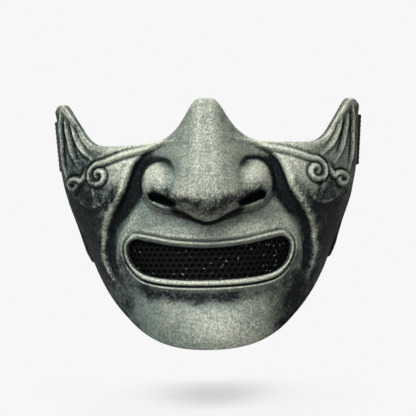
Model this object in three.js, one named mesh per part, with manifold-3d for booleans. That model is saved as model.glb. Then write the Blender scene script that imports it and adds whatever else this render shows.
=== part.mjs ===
// Samurai half mask: a cast face guard that covers nose, cheeks and chin, with a
// perforated steel panel and its cloth backing behind the open mouth, and an elastic head
// strap that is looped through a slot behind each cheek point.
// Millimetres. +Z is up, the face looks along -Y, and +X is on a viewer's right.
// The origin is on the centre plane, in the hollow that the wearer's face fills.
import * as THREE from "three";
import { mergeVertices } from "three/addons/utils/BufferGeometryUtils.js";
import Module from "manifold-3d";

const wasm = await Module();
wasm.setup();

// ---- Driving dimensions -------------------------------------------------------------
const axisDepth = 20; // y of the upright axis that the wall bends round
const backDepth = 80; // how far behind that axis the wall would close
const squareness = 2.3; // 2 is an ellipse, more is a squarer plan
const edgeAngle = 105; // degrees from the front to the rear edge
const wall = 4;
const gap = 0.35; // between pieces that touch
const chinHeight = -73.4;
const jawRise = 51;
const jawPower = 1.15;

// Plan sections of the plain wall, from below the chin to above the cheek points.
const sections = [
  { z: -80, halfWidth: 43, front: -41 },
  { z: -62, halfWidth: 52.5, front: -43 },
  { z: -48, halfWidth: 59, front: -42 },
  { z: -33, halfWidth: 65.8, front: -42 },
  { z: -16, halfWidth: 73.8, front: -42 },
  { z: 0, halfWidth: 79.3, front: -41 },
  { z: 14, halfWidth: 84, front: -39.5 },
  { z: 26, halfWidth: 86.8, front: -38 },
  { z: 38, halfWidth: 88.5, front: -36 },
  { z: 52, halfWidth: 89.6, front: -34 },
  { z: 66, halfWidth: 90, front: -32 },
  { z: 86, halfWidth: 89.5, front: -29 },
];

// Height of the top edge against the angle from the front: nose bridge, eye cut, point.
const topEdge = [
  { angle: 0, z: 73.4 },
  { angle: 6, z: 72.6 },
  { angle: 10, z: 68.5 },
  { angle: 14, z: 61.8 },
  { angle: 19, z: 55 },
  { angle: 26, z: 49.6 },
  { angle: 34, z: 47.4 },
  { angle: 46, z: 46.8 },
  { angle: 54, z: 46.8 },
  { angle: 59, z: 47.6 },
  { angle: 63, z: 51.2 },
  { angle: 67, z: 57.6 },
  { angle: 71, z: 64.2 },
  { angle: 74, z: 68.8 },
  { angle: 77, z: 71.6 },
  { angle: 80, z: 71.6 },
  { angle: 84, z: 69.8 },
  { angle: 92, z: 68.2 },
  { angle: 116, z: 66.8 },
];

// Nose: ridge height over the wall and half width, from below the tip to the bridge. Its
// top is flat over a share of the half width.
const noseRidge = [
  { z: 0, height: 25.5, halfWidth: 38 },
  { z: 9, height: 26.5, halfWidth: 41 },
  { z: 17, height: 26.5, halfWidth: 42 },
  { z: 24, height: 25.2, halfWidth: 39 },
  { z: 33, height: 21.8, halfWidth: 33 },
  { z: 42, height: 18, halfWidth: 28.5 },
  { z: 50, height: 15.4, halfWidth: 24.5 },
  { z: 64, height: 12, halfWidth: 20 },
  { z: 86, height: 10, halfWidth: 17 },
];
const noseFlat = 0.12;
// Lower edge of the nose against the distance from the middle, and the height over which
// the nose rises from it.
const noseFoot = [
  { x: -6, z: 2.4, rise: 18 },
  { x: 0, z: 0.9, rise: 19 },
  { x: 6, z: 2.4, rise: 18 },
  { x: 12, z: 5.4, rise: 15.5 },
  { x: 18, z: 7.8, rise: 13 },
  { x: 24, z: 8.8, rise: 11.5 },
  { x: 30, z: 10.4, rise: 10 },
  { x: 35, z: 14, rise: 8.5 },
  { x: 38, z: 18.6, rise: 7.5 },
  { x: 41, z: 27, rise: 6 },
];
const noseWing = { x: 27, z: 24, inward: 15, outward: 13, halfHeight: 14, height: 14.6 };
const wingBlend = 6;
const nostril = { outer: [31.8, 17.2], inner: [20, 12.1], radius: 2.6, innerRadius: 1.5, depth: 8 };

// Mouth opening, right half, as points [x, z] from the middle of the upper lip to the
// middle of the lower.
const mouthHalf = [
  [0, -14.4], [20, -13], [36, -9.8], [44, -8.7], [47.6, -11.8],
  [47.6, -17.6], [44.6, -23.6], [39, -28], [28, -31], [0, -32.6],
];
const lip = {
  width: 3.8, cornerWidth: 2, height: 1.8, inset: -2.2, overlap: 1.5, sunk: 6,
};

// Curves of the relief on the right-hand side, as points [x, z] seen from the front.
const cheekFold = [
  [16, 47], [25, 45.4], [34, 41.6], [40.6, 35], [44, 26.5], [47, 17.5],
  [52, 8.5], [57.4, -1], [60.4, -11], [60, -21], [55.6, -31], [48, -38.5],
];
const foldHeights = [
  { along: 0, height: 0 }, { along: 0.16, height: 3.2 }, { along: 0.34, height: 5.6 },
  { along: 0.5, height: 5.4 }, { along: 0.64, height: 3.6 }, { along: 0.82, height: 1.9 },
  { along: 1, height: 0 },
];
const fold = { flank: 4, reach: 34, trough: 2.2, troughPlace: 4, troughWidth: 4.5 };
const cheekbone = [
  [54, 16], [60, 9.8], [68, 8.6], [75.6, 13], [81.4, 24], [85, 37], [87, 52],
];
const boneHeights = [
  { along: 0, height: 0 }, { along: 0.2, height: 2 }, { along: 0.45, height: 2.8 },
  { along: 0.75, height: 1.9 }, { along: 1, height: 0.6 },
];
const bone = { flank: 3.6, reach: 30 };
const cheekHollow = { x: 68, z: -5, halfWidth: 11, halfHeight: 20, depth: 3.2 };
const chin = { z: -59, height: 3.6, halfWidth: 30, halfHeight: 14 };
const sulcus = { z: -43, depth: 2, halfWidth: 36, halfHeight: 6 };
const edgeRoll = { width: 2.6, height: 0.9 };
const hornScoop = { x: 80, z: 56, halfWidth: 7, halfHeight: 13, depth: 1.3 };

// Ornament: a traditional cloud of two curls with a tail along the eye cut, and flowing
// ribs up into each cheek point.
const curls = [
  {
    x: 62.5, z: 29.5, radius: 7.4, endRadius: 1.5, start: 100, turns: 1.4, steps: 16,
    tail: [[30, 44.6], [38, 43.6], [47, 41.6], [55.5, 38.6]],
  },
  {
    x: 77, z: 24, radius: 4.4, endRadius: 1.3, start: 150, turns: 1.15, steps: 10,
    tail: [[70.4, 33], [71, 31], [72, 28.6]],
  },
];
const hornRibs = [
  [[81.4, 29], [84, 39], [85.8, 50], [86.6, 60], [86.6, 67]],
  [[74, 34], [78.8, 42.5], [82.2, 52.5], [84.2, 61.6]],
  [[67, 39], [73, 44.4], [77.6, 52], [80.6, 59.6]],
];
const rib = { halfWidth: 1.2, height: 1, sunk: 1.2 };

// Hollow for the wearer's nose, as a share of the outer ridge's height.
const hollow = { halfWidth: 19, bottom: 8, blend: 12, share: 0.8 };

const panel = {
  halfWidth: 54, bottom: -38.6, top: -4.1, thickness: 1.2, standOff: 0.4,
  columns: 18, rows: 3, pitch: 4.5, holeRadius: 1.8, middle: -21.1,
  holeRows: 9, holeColumns: 27,
};
const backing = { thickness: 1, standOff: 0.95 };

// The strap is horizontal at its slots and then slopes down to the back of the head.
const strap = {
  thickness: 1.6, width: 30, height: 47.5, lean: 0.075, ease: 0.9,
  tailEnd: 70, tailMerge: 14, turnClear: 0.9, backDepth: 134, slope: 0.37, bend: 4,
  roundness: 2.1,
};
const slot = { front: 29.3, back: 35.5, height: 31.6, x: 88, cutDepth: 30 };
const rearEdge = 43.5;

// Cells of the grids that the surfaces are worked out on, the radius of the core that is
// cut away, and how far the triangles that are kept may lie off the surfaces.
const faceGrid = { columns: 220, rows: 130, core: 30 };
const hollowGrid = { columns: 44, rows: 26, core: 20, past: 10 };
const castTolerance = 0.5;
const panelTolerance = 0.04;

const colours = { cast: 0x7d867c, steel: 0x15171a, cloth: 0x0b0c0d, webbing: 0x0e0f11 };

// ---- Small tools --------------------------------------------------------------------
const radians = THREE.MathUtils.degToRad;
const { clamp, lerp, smoothstep } = THREE.MathUtils;
const bell = (t) => Math.exp(-t * t);
const dome = (t) => Math.max(0, 1 - t * t) ** 0.85;
const range = (count) => [...Array(count).keys()];

// A smooth curve through the rows of a table, held level past its ends.
function through(rows, key, column) {
  const n = rows.length;
  const slope = rows.map((row, i) => {
    const before = rows[Math.max(0, i - 1)];
    const after = rows[Math.min(n - 1, i + 1)];
    return (after[column] - before[column]) / (after[key] - before[key]);
  });
  return (value) => {
    const t = clamp(value, rows[0][key], rows[n - 1][key]);
    const next = rows.findIndex((row) => row[key] >= t);
    const i = Math.max(0, next - 1);
    const span = rows[i + 1][key] - rows[i][key];
    const u = (t - rows[i][key]) / span;
    const rise = u * u * (3 - 2 * u);
    return lerp(rows[i][column], rows[i + 1][column], rise)
      + span * u * (1 - u) * ((1 - u) * slope[i] - u * slope[i + 1]);
  };
}

// The larger of two heights, with the corner between them rounded over.
function blendMax(a, b, reach) {
  const radius = Math.min(reach, a + b + 1e-6);
  const share = clamp(0.5 + (0.5 * (a - b)) / radius, 0, 1);
  return lerp(b, a, share) + radius * share * (1 - share);
}

function solidOf(geometry) {
  const bare = geometry.index ? geometry.toNonIndexed() : geometry.clone();
  bare.deleteAttribute("normal");
  bare.deleteAttribute("uv");
  const merged = mergeVertices(bare, 1e-4);
  return new wasm.Manifold(new wasm.Mesh({
    numProp: 3,
    vertProperties: merged.attributes.position.array,
    triVerts: new Uint32Array(merged.index.array),
  }));
}

function solidFromLists(points, triangles) {
  return new wasm.Manifold(new wasm.Mesh({
    numProp: 3,
    vertProperties: new Float32Array(points.flatMap((p) => [p.x, p.y, p.z])),
    triVerts: new Uint32Array(triangles.flat()),
  }));
}

// A solid from points and triangles that all face the same way, out or in.
function closedSolid(points, triangles) {
  const solid = solidFromLists(points, triangles);
  if (solid.volume() > 0) return solid;
  return solidFromLists(points, triangles.map(([a, b, c]) => [a, c, b]));
}

// The planes that meet in a corner, as the ten sums that give a place's distance from all
// of them, squared and added up.
const planeSums = (n, d) => [
  n.x * n.x, n.x * n.y, n.x * n.z, n.x * d, n.y * n.y, n.y * n.z, n.y * d, n.z * n.z, n.z * d,
  d * d,
];
const offPlanes = (q, p) =>
  p.x * (q[0] * p.x + 2 * (q[1] * p.y + q[2] * p.z + q[3]))
  + p.y * (q[4] * p.y + 2 * (q[5] * p.z + q[6])) + p.z * (q[7] * p.z + 2 * q[8]) + q[9];

// The place where the planes of two corners meet best.
function bestPlace(q, a, b) {
  const sums = new THREE.Matrix3().set(q[0], q[1], q[2], q[1], q[4], q[5], q[2], q[5], q[7]);
  const choices = [a, b, a.clone().lerp(b, 0.5)];
  if (Math.abs(sums.determinant()) > 1e-3) {
    const met = new THREE.Vector3(-q[3], -q[6], -q[8]).applyMatrix3(sums.invert());
    if (met.distanceTo(choices[2]) < a.distanceTo(b)) choices.push(met);
  }
  const costs = choices.map((p) => offPlanes(q, p));
  const least = Math.min(...costs);
  return { place: choices[costs.indexOf(least)], cost: least };
}

// Fewer triangles for a closed mesh, after Garland and Heckbert: edges are closed up, the
// least important first, while the surface stays within a tolerance of where it was.
function fewerTriangles(solid, tolerance) {
  const { vertProperties, triVerts } = solid.getMesh();
  const corners = Array.from({ length: vertProperties.length / 3 }, (_, i) =>
    new THREE.Vector3().fromArray(vertProperties, 3 * i));
  const faces = Array.from({ length: triVerts.length / 3 }, (_, i) =>
    Array.from(triVerts.subarray(3 * i, 3 * i + 3)));
  const facesAt = corners.map(() => new Set());
  const planes = corners.map(() => new Array(10).fill(0));
  const facing = ([a, b, c]) => b.clone().sub(a).cross(c.clone().sub(a)).normalize();
  faces.forEach((face, f) => {
    const normal = facing(face.map((v) => corners[v]));
    const sums = planeSums(normal, -normal.dot(corners[face[0]]));
    for (const v of face) {
      facesAt[v].add(f);
      planes[v] = planes[v].map((sum, k) => sum + sums[k]);
    }
  });
  const ringOf = (v) => new Set([...facesAt[v]].flatMap((f) => faces[f]));
  const flips = (v, other, place) => [...facesAt[v]].some((f) => {
    if (faces[f].includes(other)) return false;
    const before = facing(faces[f].map((w) => corners[w]));
    const after = facing(faces[f].map((w) => (w === v ? place : corners[w])));
    return before.dot(after) < 0.3;
  });
  const close = (a, b, place, sums) => {
    for (const f of [...facesAt[b]]) {
      if (faces[f].includes(a)) {
        for (const v of faces[f]) facesAt[v].delete(f);
        faces[f] = null;
      } else {
        faces[f] = faces[f].map((v) => (v === b ? a : v));
        facesAt[a].add(f);
      }
    }
    facesAt[b].clear();
    corners[a] = place;
    planes[a] = sums;
  };
  const tryEdge = (a, b, limit) => {
    const sums = planes[a].map((sum, k) => sum + planes[b][k]);
    const { place, cost } = bestPlace(sums, corners[a], corners[b]);
    if (cost > limit || flips(a, b, place) || flips(b, a, place)) return;
    const ring = ringOf(b);
    if ([...ringOf(a)].filter((v) => ring.has(v)).length === 4) close(a, b, place, sums);
  };
  for (let share = 0.02; share <= 1; share *= 1.6) {
    for (let f = 0; f < faces.length; f += 1) {
      for (let k = 0; k < 3 && faces[f]; k += 1) {
        const [a, b] = [faces[f][k], faces[f][(k + 1) % 3]];
        if (a < b) tryEdge(a, b, (share * tolerance) ** 2);
      }
    }
  }
  const kept = faces.filter(Boolean);
  const used = [...new Set(kept.flat())];
  const place = new Map(used.map((v, i) => [v, i]));
  return closedSolid(used.map((v) => corners[v]), kept.map((f) => f.map((v) => place.get(v))));
}

function meshOf(name, solid, colour, roughness, metalness) {
  const made = solid.getMesh();
  const geometry = new THREE.BufferGeometry();
  geometry.setAttribute("position", new THREE.BufferAttribute(made.vertProperties, 3));
  geometry.setIndex(new THREE.BufferAttribute(made.triVerts, 1));
  geometry.computeVertexNormals();
  const material = new THREE.MeshStandardMaterial({ color: colour, roughness, metalness });
  const mesh = new THREE.Mesh(geometry, material);
  mesh.name = name;
  return mesh;
}

// ---- The plain wall -----------------------------------------------------------------
const halfWidthAt = through(sections, "z", "halfWidth");
const frontAt = through(sections, "z", "front");
const topAt = through(topEdge, "angle", "z");
const topOf = (angle) => topAt(Math.abs(angle));
const bottomOf = (angle) =>
  chinHeight + jawRise * (1 - Math.cos(radians(angle))) ** jawPower;

function radiusAt(angle, z) {
  const sine = Math.abs(Math.sin(radians(angle)));
  const cosine = Math.cos(radians(angle));
  const depth = cosine > 0 ? axisDepth - frontAt(z) : backDepth;
  const across = (sine / halfWidthAt(z)) ** squareness;
  const along = (Math.abs(cosine) / depth) ** squareness;
  return (across + along) ** (-1 / squareness);
}

// A point of the plain wall, moved out by a height: straight forward in the middle of the
// face, and square to the axis at its sides.
function wallPoint(angle, z, height = 0) {
  const r = radiusAt(angle, z);
  const turn = radians(angle) * smoothstep(Math.abs(angle), 30, 65);
  return new THREE.Vector3(
    r * Math.sin(radians(angle)) + height * Math.sin(turn),
    axisDepth - r * Math.cos(radians(angle)) - height * Math.cos(turn),
    z,
  );
}

// The angle at which the plain wall shows at x from the front.
function angleAt(x, z) {
  const share = clamp(Math.abs(x) / halfWidthAt(z), 0, 0.9999);
  const depth = (axisDepth - frontAt(z)) * (1 - share ** squareness) ** (1 / squareness);
  return Math.sign(x) * THREE.MathUtils.radToDeg(Math.atan2(Math.abs(x), depth));
}

// Length along the wall from the middle of the face, on a section through the cheeks.
const arcStep = 1.5;
const arcHeight = 30;
const arcs = [0];
for (let angle = arcStep; angle <= edgeAngle + 10; angle += arcStep) {
  const step = wallPoint(angle, arcHeight).distanceTo(wallPoint(angle - arcStep, arcHeight));
  arcs.push(arcs.at(-1) + step);
}
function arcAt(angle) {
  const place = Math.min(Math.abs(angle) / arcStep, arcs.length - 1.001);
  return lerp(arcs[Math.floor(place)], arcs[Math.floor(place) + 1], place % 1);
}
function angleOfArc(arc) {
  const next = Math.max(1, arcs.findIndex((a) => a >= arc));
  const share = (arc - arcs[next - 1]) / (arcs[next] - arcs[next - 1]);
  return (next - 1 + share) * arcStep;
}

// Angles of the columns of a grid, closer together in the middle of the face.
function spread(share, limit) {
  const u = 2 * share - 1;
  return limit * (0.7 * u + 0.3 * u ** 3);
}

// ---- Curves on the wall -------------------------------------------------------------
const unrolled = ([x, z]) => new THREE.Vector2(arcAt(angleAt(x, z)), z);

function smoothPath(points, steps, closed = false) {
  const flat = points.map((p) => new THREE.Vector3(p.x, p.y, 0));
  const curve = new THREE.CatmullRomCurve3(flat, closed, "centripetal");
  return curve.getSpacedPoints(steps).map((p) => new THREE.Vector2(p.x, p.y));
}

// The nearest place on a path: its distance, its share of the length and its left side.
function nearest(path, point) {
  let best = { distance: Infinity, along: 0, left: false };
  for (let i = 0; i + 1 < path.length; i += 1) {
    const edge = path[i + 1].clone().sub(path[i]);
    const to = point.clone().sub(path[i]);
    const share = clamp(to.dot(edge) / edge.lengthSq(), 0, 1);
    const distance = to.clone().addScaledVector(edge, -share).length();
    if (distance < best.distance) {
      const along = (i + share) / (path.length - 1);
      best = { distance, along, left: edge.cross(to) > 0 };
    }
  }
  return best;
}

function inside(outline, point) {
  let odd = false;
  for (let i = 0, j = outline.length - 1; i < outline.length; j = i, i += 1) {
    const a = outline[i];
    const b = outline[j];
    const crosses = a.y > point.y !== b.y > point.y;
    if (crosses && point.x < ((b.x - a.x) * (point.y - a.y)) / (b.y - a.y) + a.x) odd = !odd;
  }
  return odd;
}

const foldPath = smoothPath(cheekFold.map(unrolled), 48);
const bonePath = smoothPath(cheekbone.map(unrolled), 24);
const foldHeightAt = through(foldHeights, "along", "height");
const boneHeightAt = through(boneHeights, "along", "height");
const mouthPoints = [
  ...mouthHalf,
  ...mouthHalf.slice(1, -1).reverse().map(([x, z]) => [-x, z]),
].map(([x, z]) => new THREE.Vector2(x, z));
const mouthOutline = smoothPath(mouthPoints, 56, true).slice(0, -1);

function curlPath(curl) {
  const spiral = range(curl.steps + 1).map((i) => {
    const share = i / curl.steps;
    const turn = radians(curl.start - 360 * curl.turns * share);
    const radius = lerp(curl.radius, curl.endRadius, share ** 0.8);
    return [curl.x + radius * Math.cos(turn), curl.z + radius * Math.sin(turn)];
  });
  return [...smoothPath(curl.tail.map(unrolled), 5), ...spiral.map(unrolled)];
}

// ---- Relief -------------------------------------------------------------------------
const noseHeightAt = through(noseRidge, "z", "height");
const noseWidthAt = through(noseRidge, "z", "halfWidth");
const noseFootAt = through(noseFoot, "x", "z");
const noseRiseAt = through(noseFoot, "x", "rise");

// The ridge and the wings, rounded down to the nose's lower edge.
function noseHeight(x, z) {
  const side = Math.abs(x);
  const ridge = noseHeightAt(z) * (1 - smoothstep(side / noseWidthAt(z), noseFlat, 1));
  const off = side - noseWing.x;
  const across = off / (off < 0 ? noseWing.inward : noseWing.outward);
  const up = (z - noseWing.z) / noseWing.halfHeight;
  const wing = noseWing.height * dome(Math.min(1, Math.hypot(across, up)));
  const short = 1 - clamp((z - noseFootAt(side)) / noseRiseAt(side), 0, 1);
  return blendMax(ridge, wing, wingBlend) * Math.sqrt(1 - short * short);
}

// A mass that is raised on the left of a path, and falls away past its reach.
function massHeight(path, heightAt, shape, arc, z) {
  const { distance, along, left } = nearest(path, new THREE.Vector2(arc, z));
  if (!left) return 0;
  const rise = smoothstep(distance, 0, shape.flank);
  return heightAt(along) * rise * (1 - smoothstep(distance, shape.flank + 1, shape.reach));
}

function foldTrough(arc, z) {
  const { distance, along, left } = nearest(foldPath, new THREE.Vector2(arc, z));
  const offset = left ? -distance : distance;
  const fade = smoothstep(along, 0.1, 0.3) * (1 - smoothstep(along, 0.75, 1));
  return -fold.trough * fade * bell((offset - fold.troughPlace) / fold.troughWidth);
}

function moundHeight(x, z, mound, height) {
  const across = (Math.abs(x) - (mound.x ?? 0)) / mound.halfWidth;
  return height * bell(Math.hypot(across, (z - mound.z) / mound.halfHeight));
}

function faceHeight(angle, z) {
  const x = wallPoint(angle, z).x;
  const arc = arcAt(angle);
  const cheeks = massHeight(foldPath, foldHeightAt, fold, arc, z)
    + massHeight(bonePath, boneHeightAt, bone, arc, z) + foldTrough(arc, z);
  const fromTop = topOf(angle) - z;
  const roll = edgeRoll.height * bell((fromTop - 1) / edgeRoll.width)
    * smoothstep(Math.abs(angle), 20, 34) * (1 - smoothstep(Math.abs(angle), 84, 96));
  if (Math.abs(angle) > 90) return cheeks + roll;
  return noseHeight(x, z) + cheeks + roll
    - moundHeight(x, z, cheekHollow, cheekHollow.depth)
    - moundHeight(x, z, hornScoop, hornScoop.depth)
    + moundHeight(x, z, chin, chin.height) - moundHeight(x, z, sulcus, sulcus.depth);
}

// The wearer's side is plain, with a hollow for the nose.
function innerHeight(angle, z) {
  const x = wallPoint(angle, z).x;
  if (Math.abs(angle) > 90) return -wall;
  const across = 1 - smoothstep(Math.abs(x) / hollow.halfWidth, 0, 1);
  const up = smoothstep(z, hollow.bottom, hollow.bottom + hollow.blend);
  const nose = hollow.share * noseHeightAt(z) * across * up;
  return nose - wall;
}

// ---- Solids -------------------------------------------------------------------------
// A closed body from a skin round the upright axis in to that axis. The skin is a grid of
// places, given by their share of the way across it and up it.
function bodyInside(place, { columns, rows, core }) {
  const axis = new THREE.Vector3(0, axisDepth, 0);
  const skin = range((columns + 1) * (rows + 1)).map((k) =>
    place(Math.floor(k / (rows + 1)) / columns, (k % (rows + 1)) / rows));
  const inCore = skin.map((p) =>
    p.clone().sub(axis).setZ(0).setLength(core).add(axis).setZ(p.z));
  const at = (i, j) => i * (rows + 1) + j;
  const apart = (k, m) => skin[k].distanceTo(skin[m]);
  const triangles = [];
  for (const i of range(columns)) {
    for (const j of range(rows)) {
      const [a, b, c, d] = [at(i, j), at(i + 1, j), at(i + 1, j + 1), at(i, j + 1)];
      if (apart(a, c) < apart(b, d)) triangles.push([a, b, c], [a, c, d]);
      else triangles.push([a, b, d], [b, c, d]);
    }
  }
  const border = [
    ...range(columns).map((i) => [at(i, 0), at(i + 1, 0)]),
    ...range(rows).map((j) => [at(columns, j), at(columns, j + 1)]),
    ...range(columns).map((i) => [at(i + 1, rows), at(i, rows)]),
    ...range(rows).map((j) => [at(0, j + 1), at(0, j)]),
  ];
  const first = skin.length;
  for (const [a, b] of border) {
    triangles.push([b, a, first + a], [b, first + a, first + b]);
    triangles.push([first + b, first + a, 2 * first]);
  }
  return closedSolid([...skin, ...inCore, axis], triangles);
}

// Rings with as many points each, joined into a tube with closed ends, or into one loop.
function tube(rings, looped = false) {
  const size = rings[0].length;
  const triangles = [];
  for (const i of range(rings.length - (looped ? 0 : 1))) {
    const [here, there] = [size * i, size * ((i + 1) % rings.length)];
    for (const k of range(size)) {
      const next = (k + 1) % size;
      triangles.push([here + k, here + next, there + next]);
      triangles.push([here + k, there + next, there + k]);
    }
  }
  const last = size * (rings.length - 1);
  for (const k of looped ? [] : range(size - 2)) {
    triangles.push([0, k + 2, k + 1], [last, last + k + 1, last + k + 2]);
  }
  return closedSolid(rings.flat(), triangles);
}

const around = (list, i) => [list[Math.max(0, i - 1)], list[Math.min(list.length - 1, i + 1)]];

// A raised bead of triangular section along a path of unrolled points, sunk in the wall.
function bead(path, side) {
  return tube(path.map((p, i) => {
    const [before, after] = around(path, i);
    const across = new THREE.Vector2(before.y - after.y, after.x - before.x).normalize();
    const size = i > 0 && i + 1 < path.length ? 1 : 0.35;
    return [[-1, -rib.sunk], [0, rib.height * size], [1, -rib.sunk]].map(([way, up]) => {
      const arc = p.x + across.x * way * rib.halfWidth * size;
      const z = p.y + across.y * way * rib.halfWidth * size;
      const angle = side * angleOfArc(arc);
      return wallPoint(angle, z, faceHeight(angle, z) + up);
    });
  }));
}

// The raised lip all round the mouth: highest along its outer edge, rolled in at the hole.
function lipRing() {
  const count = mouthOutline.length;
  return tube(mouthOutline.map((p, i) => {
    const before = mouthOutline[(i + count - 1) % count];
    const after = mouthOutline[(i + 1) % count];
    const out = new THREE.Vector2(after.y - before.y, before.x - after.x).normalize();
    if (inside(mouthOutline, p.clone().add(out))) out.negate();
    const width = lerp(lip.width, lip.cornerWidth, smoothstep(Math.abs(p.x), 34, 48));
    const section = [
      { offset: -lip.overlap, up: -lip.sunk }, { offset: -lip.overlap, up: lip.inset },
      { offset: 0.8 * width, up: lip.height }, { offset: width + 0.6, up: -lip.sunk },
    ];
    return section.map(({ offset, up }) => {
      const x = p.x + out.x * offset;
      const z = p.y + out.y * offset;
      const angle = angleAt(x, z);
      return wallPoint(angle, z, up + (up > lip.inset ? faceHeight(angle, z) : 0));
    });
  }), true);
}

// A straight cutter along y from an outline seen from the front.
function frontCutter(outline, from, to) {
  const shape = new THREE.Shape(outline);
  const geometry = new THREE.ExtrudeGeometry(shape, { depth: to - from, bevelEnabled: false });
  geometry.rotateX(Math.PI / 2);
  geometry.translate(0, to, 0);
  return solidOf(geometry);
}

// The outline round two discs, the second one the smaller.
function teardrop([startX, startZ], [endX, endZ], startRadius, endRadius) {
  const heading = Math.atan2(endZ - startZ, endX - startX);
  const half = (x, z, radius, from) => range(5).map((i) => {
    const turn = heading + radians(from + 45 * i);
    return new THREE.Vector2(x + radius * Math.cos(turn), z + radius * Math.sin(turn));
  });
  return [...half(endX, endZ, endRadius, -90), ...half(startX, startZ, startRadius, 90)];
}

function nostrilCutter(side) {
  const [x, z] = nostril.outer;
  const angle = angleAt(x, z);
  const floor = wallPoint(angle, z, faceHeight(angle, z) - nostril.depth).y;
  const outline = teardrop(nostril.outer, nostril.inner, nostril.radius, nostril.innerRadius);
  return frontCutter(outline.map((p) => new THREE.Vector2(side * p.x, p.y)), -80, floor);
}

function slotCutter(side) {
  const geometry = new THREE.BoxGeometry(slot.cutDepth, slot.back - slot.front, slot.height);
  geometry.translate(side * slot.x, (slot.front + slot.back) / 2, strap.height);
  return solidOf(geometry);
}

function makeShell() {
  const outside = (across, up) => {
    const angle = spread(across, edgeAngle);
    const z = lerp(bottomOf(angle), topOf(angle), up);
    return wallPoint(angle, z, faceHeight(angle, z));
  };
  const wearerSide = (across, up) => {
    const angle = spread(across, edgeAngle + hollowGrid.past);
    const z = lerp(bottomOf(angle) - hollowGrid.past, topOf(angle) + hollowGrid.past, up);
    return wallPoint(angle, z, innerHeight(angle, z));
  };
  const beads = [1, -1].flatMap((side) => [
    ...curls.map((curl) => bead(curlPath(curl), side)),
    ...hornRibs.map((points) => bead(smoothPath(points.map(unrolled), 5), side)),
  ]);
  const body = wasm.Manifold.union([bodyInside(outside, faceGrid), lipRing(), ...beads]);
  const cutters = [bodyInside(wearerSide, hollowGrid), frontCutter(mouthOutline, -80, 0)];
  for (const side of [1, -1]) cutters.push(nostrilCutter(side), slotCutter(side));
  return fewerTriangles(body.subtract(wasm.Manifold.union(cutters)), castTolerance);
}

// A sheet behind the mouth that follows the wall, between two depths under its face.
function sheetBehindMouth(front, back) {
  const step = 0.5;
  return tube(range(panel.columns + 1).map((i) => {
    const x = lerp(-panel.halfWidth, panel.halfWidth, i / panel.columns);
    const column = (depth) => range(panel.rows + 1).map((j) => {
      const z = lerp(panel.bottom, panel.top, j / panel.rows);
      const angle = angleAt(x, z);
      const along = wallPoint(angle + step, z).sub(wallPoint(angle - step, z));
      const up = wallPoint(angle, z + step).sub(wallPoint(angle, z - step));
      const out = along.cross(up).normalize();
      return wallPoint(angle, z).addScaledVector(out, -depth);
    });
    return [...column(front), ...column(back).reverse()];
  }));
}

const panelFront = wall + panel.standOff;
const panelBack = panelFront + panel.thickness;

// The steel panel: staggered six-sided holes wherever the mouth opening shows them.
function makePanel() {
  const holes = [];
  const rowPitch = (panel.pitch * Math.sqrt(3)) / 2;
  for (const row of range(panel.holeRows)) {
    for (const column of range(panel.holeColumns)) {
      const stagger = row % 2 ? 0.5 : 0;
      const x = (column + stagger - (panel.holeColumns - 1) / 2) * panel.pitch;
      const z = panel.middle + (row - (panel.holeRows - 1) / 2) * rowPitch;
      const hexagon = range(6).map((k) => new THREE.Vector2(
        x + panel.holeRadius * Math.sin(radians(60 * k)),
        z - panel.holeRadius * Math.cos(radians(60 * k)),
      ));
      if (inside(mouthOutline, new THREE.Vector2(x, z))) {
        holes.push(frontCutter(hexagon, -60, 20));
      }
    }
  }
  const plate = sheetBehindMouth(panelFront, panelBack);
  return plate.subtract(wasm.Manifold.union(holes)).simplify(panelTolerance);
}

function makeBacking() {
  const front = panelBack + backing.standOff;
  return sheetBehindMouth(front, front + backing.thickness);
}

// Where the wall's outer face lies at a depth behind the axis, on the strap's level.
function wallX(y) {
  const share = (y - axisDepth) / backDepth;
  return halfWidthAt(strap.height) * (1 - share ** squareness) ** (1 / squareness);
}

// Plan route of the strap on the right: the sewn tail, round the bar between slot and rear
// edge, then along the inside and half way round the back of the head.
function strapPlan() {
  const clear = strap.thickness / 2 + gap + strap.ease;
  const turnDepth = slot.back + strap.turnClear;
  const outer = (y) => wallX(Math.min(y, rearEdge)) + clear;
  const inner = (y) => wallX(Math.min(y, rearEdge)) - wall - clear;
  const headDepth = strap.backDepth - rearEdge;
  const headX = (y) => {
    const share = clamp((y - rearEdge) / headDepth, 0, 1);
    return inner(rearEdge) * (1 - share ** strap.roundness) ** (1 / strap.roundness);
  };
  const tailX = (y) => {
    const sewn = headX(y) + strap.thickness + gap;
    return lerp(outer(y), sewn, smoothstep(y, rearEdge, rearEdge + strap.tailMerge));
  };
  const middle = (outer(turnDepth) + inner(turnDepth)) / 2;
  const radius = outer(turnDepth) - middle;
  const tail = [0, 0.2, 0.4, 0.5, 0.6, 0.7, 0.8, 0.92].map((share) => {
    const y = lerp(strap.tailEnd, turnDepth, share);
    return [tailX(y), y];
  });
  const turn = range(7).map((i) => [
    middle + radius * Math.cos(radians(30 * i)), turnDepth - radius * Math.sin(radians(30 * i)),
  ]);
  const head = range(15).map((i) => {
    const along = radians((90 * i) / 14);
    return [
      inner(rearEdge) * Math.cos(along) ** (2 / strap.roundness),
      rearEdge + headDepth * Math.sin(along) ** (2 / strap.roundness),
    ];
  });
  return [...tail, ...turn, [inner(rearEdge - 3.5), rearEdge - 3.5], ...head];
}

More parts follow.
